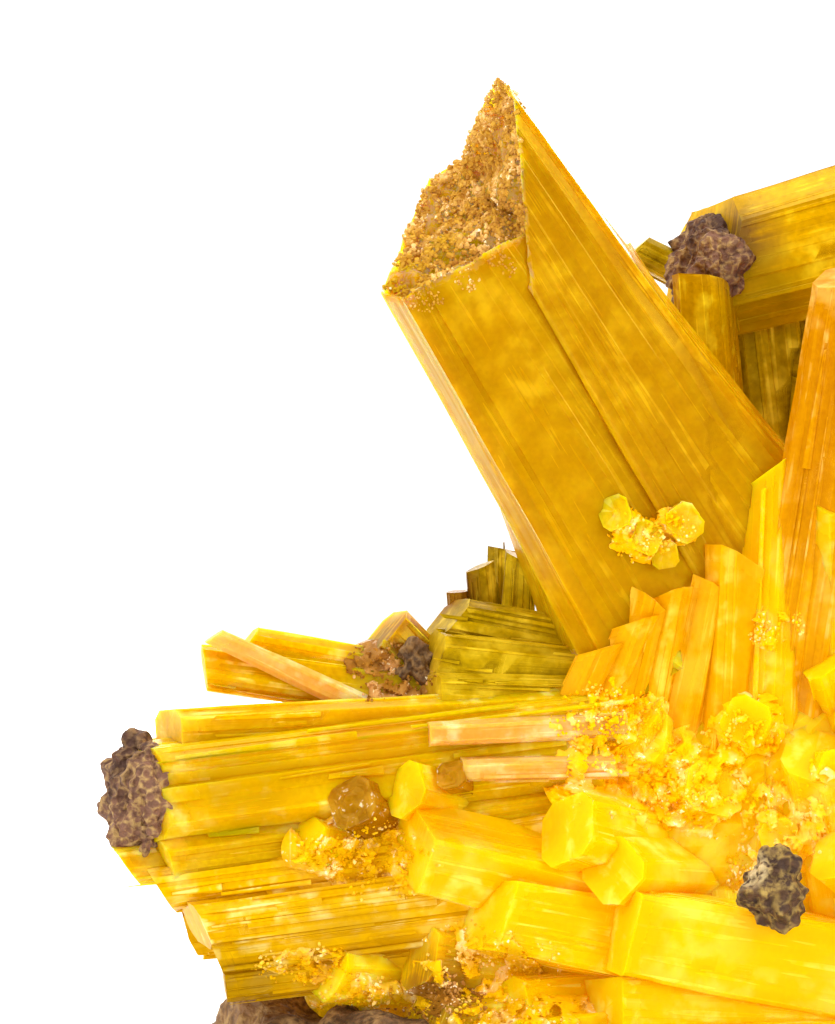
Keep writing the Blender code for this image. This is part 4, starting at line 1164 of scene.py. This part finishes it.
heart_meshes = [prism(c, Finish(20, 8, 0.02), 9000 + n) for n, c in enumerate(druse())]
heart = grow_together("heart_druse", [lump(HEART, 60, 0.2, 0.5), *heart_meshes])
finished(heart, "legrandite_spray", LEMON)

# The limonite. Brown, earthy iron oxide: the block that the spray grew on, with a sawn flat
# base, and crusts of it on the ends of some crystals.

GOLDEN_PATCH_COLOUR = (0.72, 0.55, 0.28)
DULL = 0.3  # how much a dull surface still reflects


def limonite(name, dark, brown, ochre, cells, golden_patch=None):
    """Limonite: dark and brown clouds, an ochre net between its pores, dull and deeply pitted.

    A golden patch is a place and a radius where its grains are painted pale gold.
    """
    made, surface = new_material(name)
    tree = made.node_tree
    place = Socket(tree, tree.nodes.new("ShaderNodeTexCoord").outputs["Object"])
    clouds = place.cloud(0.35, detail=5.0)
    grain = place.cloud(3.5, detail=3.0)
    pores = place.cells(cells)
    colour = place.plain(dark).blend(brown, (clouds + 0.5 * grain).between(0.6, 0.85))
    net = pores.between(0.35, 0.6) * grain.between(0.4, 0.6)
    colour = colour.blend(ochre, net * clouds.between(0.3, 0.6))
    if golden_patch:
        centre, radius = golden_patch
        golden = place.near(centre, 0.5 * radius, radius) * grain.between(0.35, 0.55)
        colour = colour.blend(GOLDEN_PATCH_COLOUR, golden * 0.9)
    colour.feed(surface["Base Color"])
    (0.55 + 0.35 * grain).feed(surface["Roughness"])
    pits = {"Strength": 0.7, "Distance": 0.0003, "Height": grain + pores * 1.2}
    place.node("ShaderNodeBump", {}, pits).feed(surface["Normal"])
    surface["Specular IOR Level"].default_value = DULL
    return made


BROWN = limonite("brown limonite", (0.07, 0.033, 0.012), (0.24, 0.12, 0.045), (0.42, 0.25, 0.09),
                 0.9)
DARK = limonite("dark limonite", (0.045, 0.02, 0.01), (0.13, 0.065, 0.03), (0.5, 0.33, 0.08), 1.8,
                golden_patch=((-0.7, -9.0, 16.4), 1.0))
PURPLE = limonite("purple limonite", (0.07, 0.028, 0.014), (0.22, 0.1, 0.055),
                  (0.52, 0.32, 0.11), 2.8)

MATRIX = [
    Lump((-0.4, 0.3, 0.5), (21.0, 11.2, 8.9), rough=1.8, knob=5.5, square=0.5),
    Lump((-16.2, -0.6, 5.0), (6.4, 7.0, 6.2), rough=1.2, knob=4, square=0.8),
]
block, left_end = (lump(body, rows, 0.5, 1.5, floor=0.0) for body, rows in zip(MATRIX, (190, 90)))
finished(grow_together("limonite_block", [block, left_end]), "limonite_matrix", BROWN)

CRUSTS = {
    "left_sheaf": Lump((-24.9, -4.2, 18.7), (0.8, 2.4, 2.5), 0.5, 1.2, turn=28),
    "crossing_prism": Lump((-2.1, 3.2, 39.4), (1.3, 2.8, 2.2), 0.5, 1.1, turn=12),
    "front": Lump((0.3, -8.3, 15.5), (1.2, 0.9, 1.4), 0.4, 0.9),
    "blade_fan": Lump((-13.9, -1.9, 24.1), (1.0, 0.7, 1.0), 0.3, 0.8),
    "right_spray": Lump((25.4, -1.6, 24.4), (0.8, 2.5, 2.5), 0.5, 1.2, turn=-12),
}
for place_name, body in CRUSTS.items():
    crust = bpy.data.objects.new(f"crust_{place_name}", lump(body, 70, 0.3, 0.5))
    scene.collection.objects.link(crust)
    mineral = {"front": DARK, "blade_fan": BROWN}.get(place_name, PURPLE)
    finished(crust, f"limonite_crust_{place_name}", mineral)

# The rubble. Crusts of broken crystal grown over the front between the clean faces, with sugar
# on them: orange round the middle, golden and rusty low at the left.


POINTS_ROUND = 44  # points round a patch for each millimetre of its half size
SMOOTHINGS = 30
FACETS = ((0.8, 0.5), (0.32, 0.22))  # how wide a facet is, and how far it stands out
FACET_SLOPE = 0.45
GAP_DEPTH = 1.5  # how far behind its middle depth a patch follows the gaps between crystals
SEATED = 0.35  # how deep it lies in them without its facets
RIM_FROM, RIM_SINKS = 0.65, 1.6  # where on the way out it begins to sink, and how steeply
RAGGED = 0.3  # how unevenly it begins to
BACK = 0.8  # from its deepest point to its flat back


def crumbled(patch, tree, seed):
    """A crust of broken facets over whatever a patch covers, seen from the front.

    Rings of points round the ellipse's middle are carried back along Y to the first face that
    they meet, and evened out. Each point then takes the height of its nearest seed's tilted
    facet, for big seeds and for small ones. Towards its rim the crust sinks into what it lies on,
    and a flat back closes it.
    """
    x, z, across, high = patch
    rng = np.random.default_rng(seed)
    around = int(POINTS_ROUND * max(across, high))
    rings = around // 4
    far = np.linspace(1, 0.02, rings)[:, None, None]
    turn = 2 * np.pi * np.arange(around) / around
    flat = far * np.stack([across * np.cos(turn), high * np.sin(turn)], axis=-1)
    starts = np.insert((flat + (x, z)).reshape(-1, 2), 1, IN_FRONT, axis=1)
    hits = [tree.ray_cast(Vector(start), Vector((0, 1, 0)))[0] for start in starts]
    depth = np.array([hit.y if hit else np.nan for hit in hits]).reshape(rings, around)
    depth = np.fmin(depth, np.nanmedian(depth) + GAP_DEPTH)
    for _ in range(SMOOTHINGS):
        padded = np.pad(depth, ((1, 1), (0, 0)), mode="edge")
        beside = padded[:-2] + padded[2:] + np.roll(depth, 1, axis=1) + np.roll(depth, -1, axis=1)
        depth = beside / 4
    height = np.zeros(depth.shape)
    for size, lift in FACETS:
        count = int(4 * across * high / size**2)
        middles = rng.uniform(-1, 1, (count, 2)) * (across, high)
        slope, own = rng.normal(0, FACET_SLOPE, (count, 2)), rng.random((count, 3))
        gap = flat[:, :, None] - middles
        nearest = (gap**2).sum(axis=-1).argmin(axis=-1)
        offset = flat - middles[nearest]
        height += lift * own[nearest][..., 0] + (offset * slope[nearest]).sum(axis=-1)
        if (size, lift) == FACETS[0]:
            tone, spread = own[nearest][..., 1], 50 * own[nearest][..., 1:]
    ragged = far[..., 0] + RAGGED * noise(np.insert(flat, 2, seed, axis=-1) / 0.9)
    sunk = RIM_SINKS * np.clip(ragged - RIM_FROM, 0, 1)
    depth = depth + SEATED - np.clip(height, -0.1, 0.9) + sunk
    rim = np.insert(flat[:1] + (x, z), 1, depth.max() + BACK, axis=-1)
    front = np.stack([flat[..., 0] + x, depth, flat[..., 1] + z], axis=-1)
    grid = np.concatenate([rim, front])
    tone, spread = np.concatenate([tone[:1], tone]), np.concatenate([spread[:1], spread])
    streak, cloud = 0.5 + 0.5 * noise(grid / 0.7, 5), 0.5 + 0.5 * noise(grid / 3, 90)
    return shell(grid, rim[0].mean(axis=0), front[-1].mean(axis=0), {
        "track": np.insert(grid[..., ::2] + spread, 2, 0, axis=-1),
        "grown": np.stack([tone, streak, cloud], axis=-1),
        "worn": np.broadcast_to((1.0, 0.0, 0.0), grid.shape),
    })


# Each piece's patches: the X and Z of an ellipse's middle, and its half sizes in X and Z.
RUBBLE = [
    ("orange_rubble", [
        (-5.6, 19.8, 3.2, 2.2), (-2.4, 19.4, 2.4, 2.4), (1.2, 18.2, 2.4, 2.4),
        (-6.6, 21.8, 1.9, 1.7), (0.4, 25.7, 1.3, 1.0), (-4.6, 29.3, 2.0, 1.2),
        (-0.4, 21.6, 1.8, 1.5), (-5.3, 22.5, 1.6, 1.3)]),
    ("golden_rubble", [
        (-15.2, 16.5, 2.4, 1.7), (-10.9, 12.5, 3.0, 1.7), (-13.8, 10.7, 2.6, 1.5),
        (-17.4, 16.9, 1.7, 1.3), (-16.2, 11.0, 2.0, 1.2), (-9.4, 10.3, 3.4, 1.1),
        (-18.0, 12.3, 2.2, 0.9), (-0.4, 16.2, 1.2, 1.4)]),
    ("rusty_rubble", [(-14.9, 23.7, 2.0, 1.3), (-12.4, 11.2, 1.7, 0.9), (-14.4, 9.9, 1.8, 0.8)]),
]
ORANGE_GRAIN = legrandite("orange rubble", (0.82, 0.38, 0.0), (1.0, 0.66, 0.0), (1.0, 0.78, 0.3),
                          wisps=1.0, glow=0.3, clear=0, soft=False, emitted_glow=0.14, glints=1.0)
GOLD_GRAIN = legrandite("golden rubble", (0.6, 0.29, 0.0), (0.98, 0.62, 0.004), (1.0, 0.8, 0.4),
                        wisps=1.0, glow=0.3, clear=0, soft=False, emitted_glow=0.12, glints=1.0)
RUSTY_GRAIN = legrandite("rusty rubble", (0.16, 0.05, 0.006), (0.5, 0.2, 0.02), (0.75, 0.42, 0.16),
                         wisps=1.0, glow=0.1, clear=0, soft=False, emitted_glow=0.08, glints=1.0)
PATCH_GRAINS = 200
pieces = [o for o in scene.objects if o.type == "MESH" and o.data.attributes.get("grown")]
pieces = [o for o in pieces if not o.name.startswith(("crust", "limonite"))]
surfaces = tree_of(pieces)
for (rubble_name, patches), material in zip(RUBBLE, (ORANGE_GRAIN, GOLD_GRAIN, RUSTY_GRAIN)):
    parts = [crumbled(patch, surfaces, 80 + number) for number, patch in enumerate(patches)]
    mass = finished(grow_together(rubble_name, parts), "legrandite_spray", material)
    crumbly = tree_of([mass, *pieces])
    found = [
        patch_seats(crumbly, (*patch, PATCH_GRAINS), 20 + number)
        for number, patch in enumerate(patches)]
    grains(f"{rubble_name}_sugar", found, material, (0.03, 0.1), (0.2, 1.0), 0.4, 70)
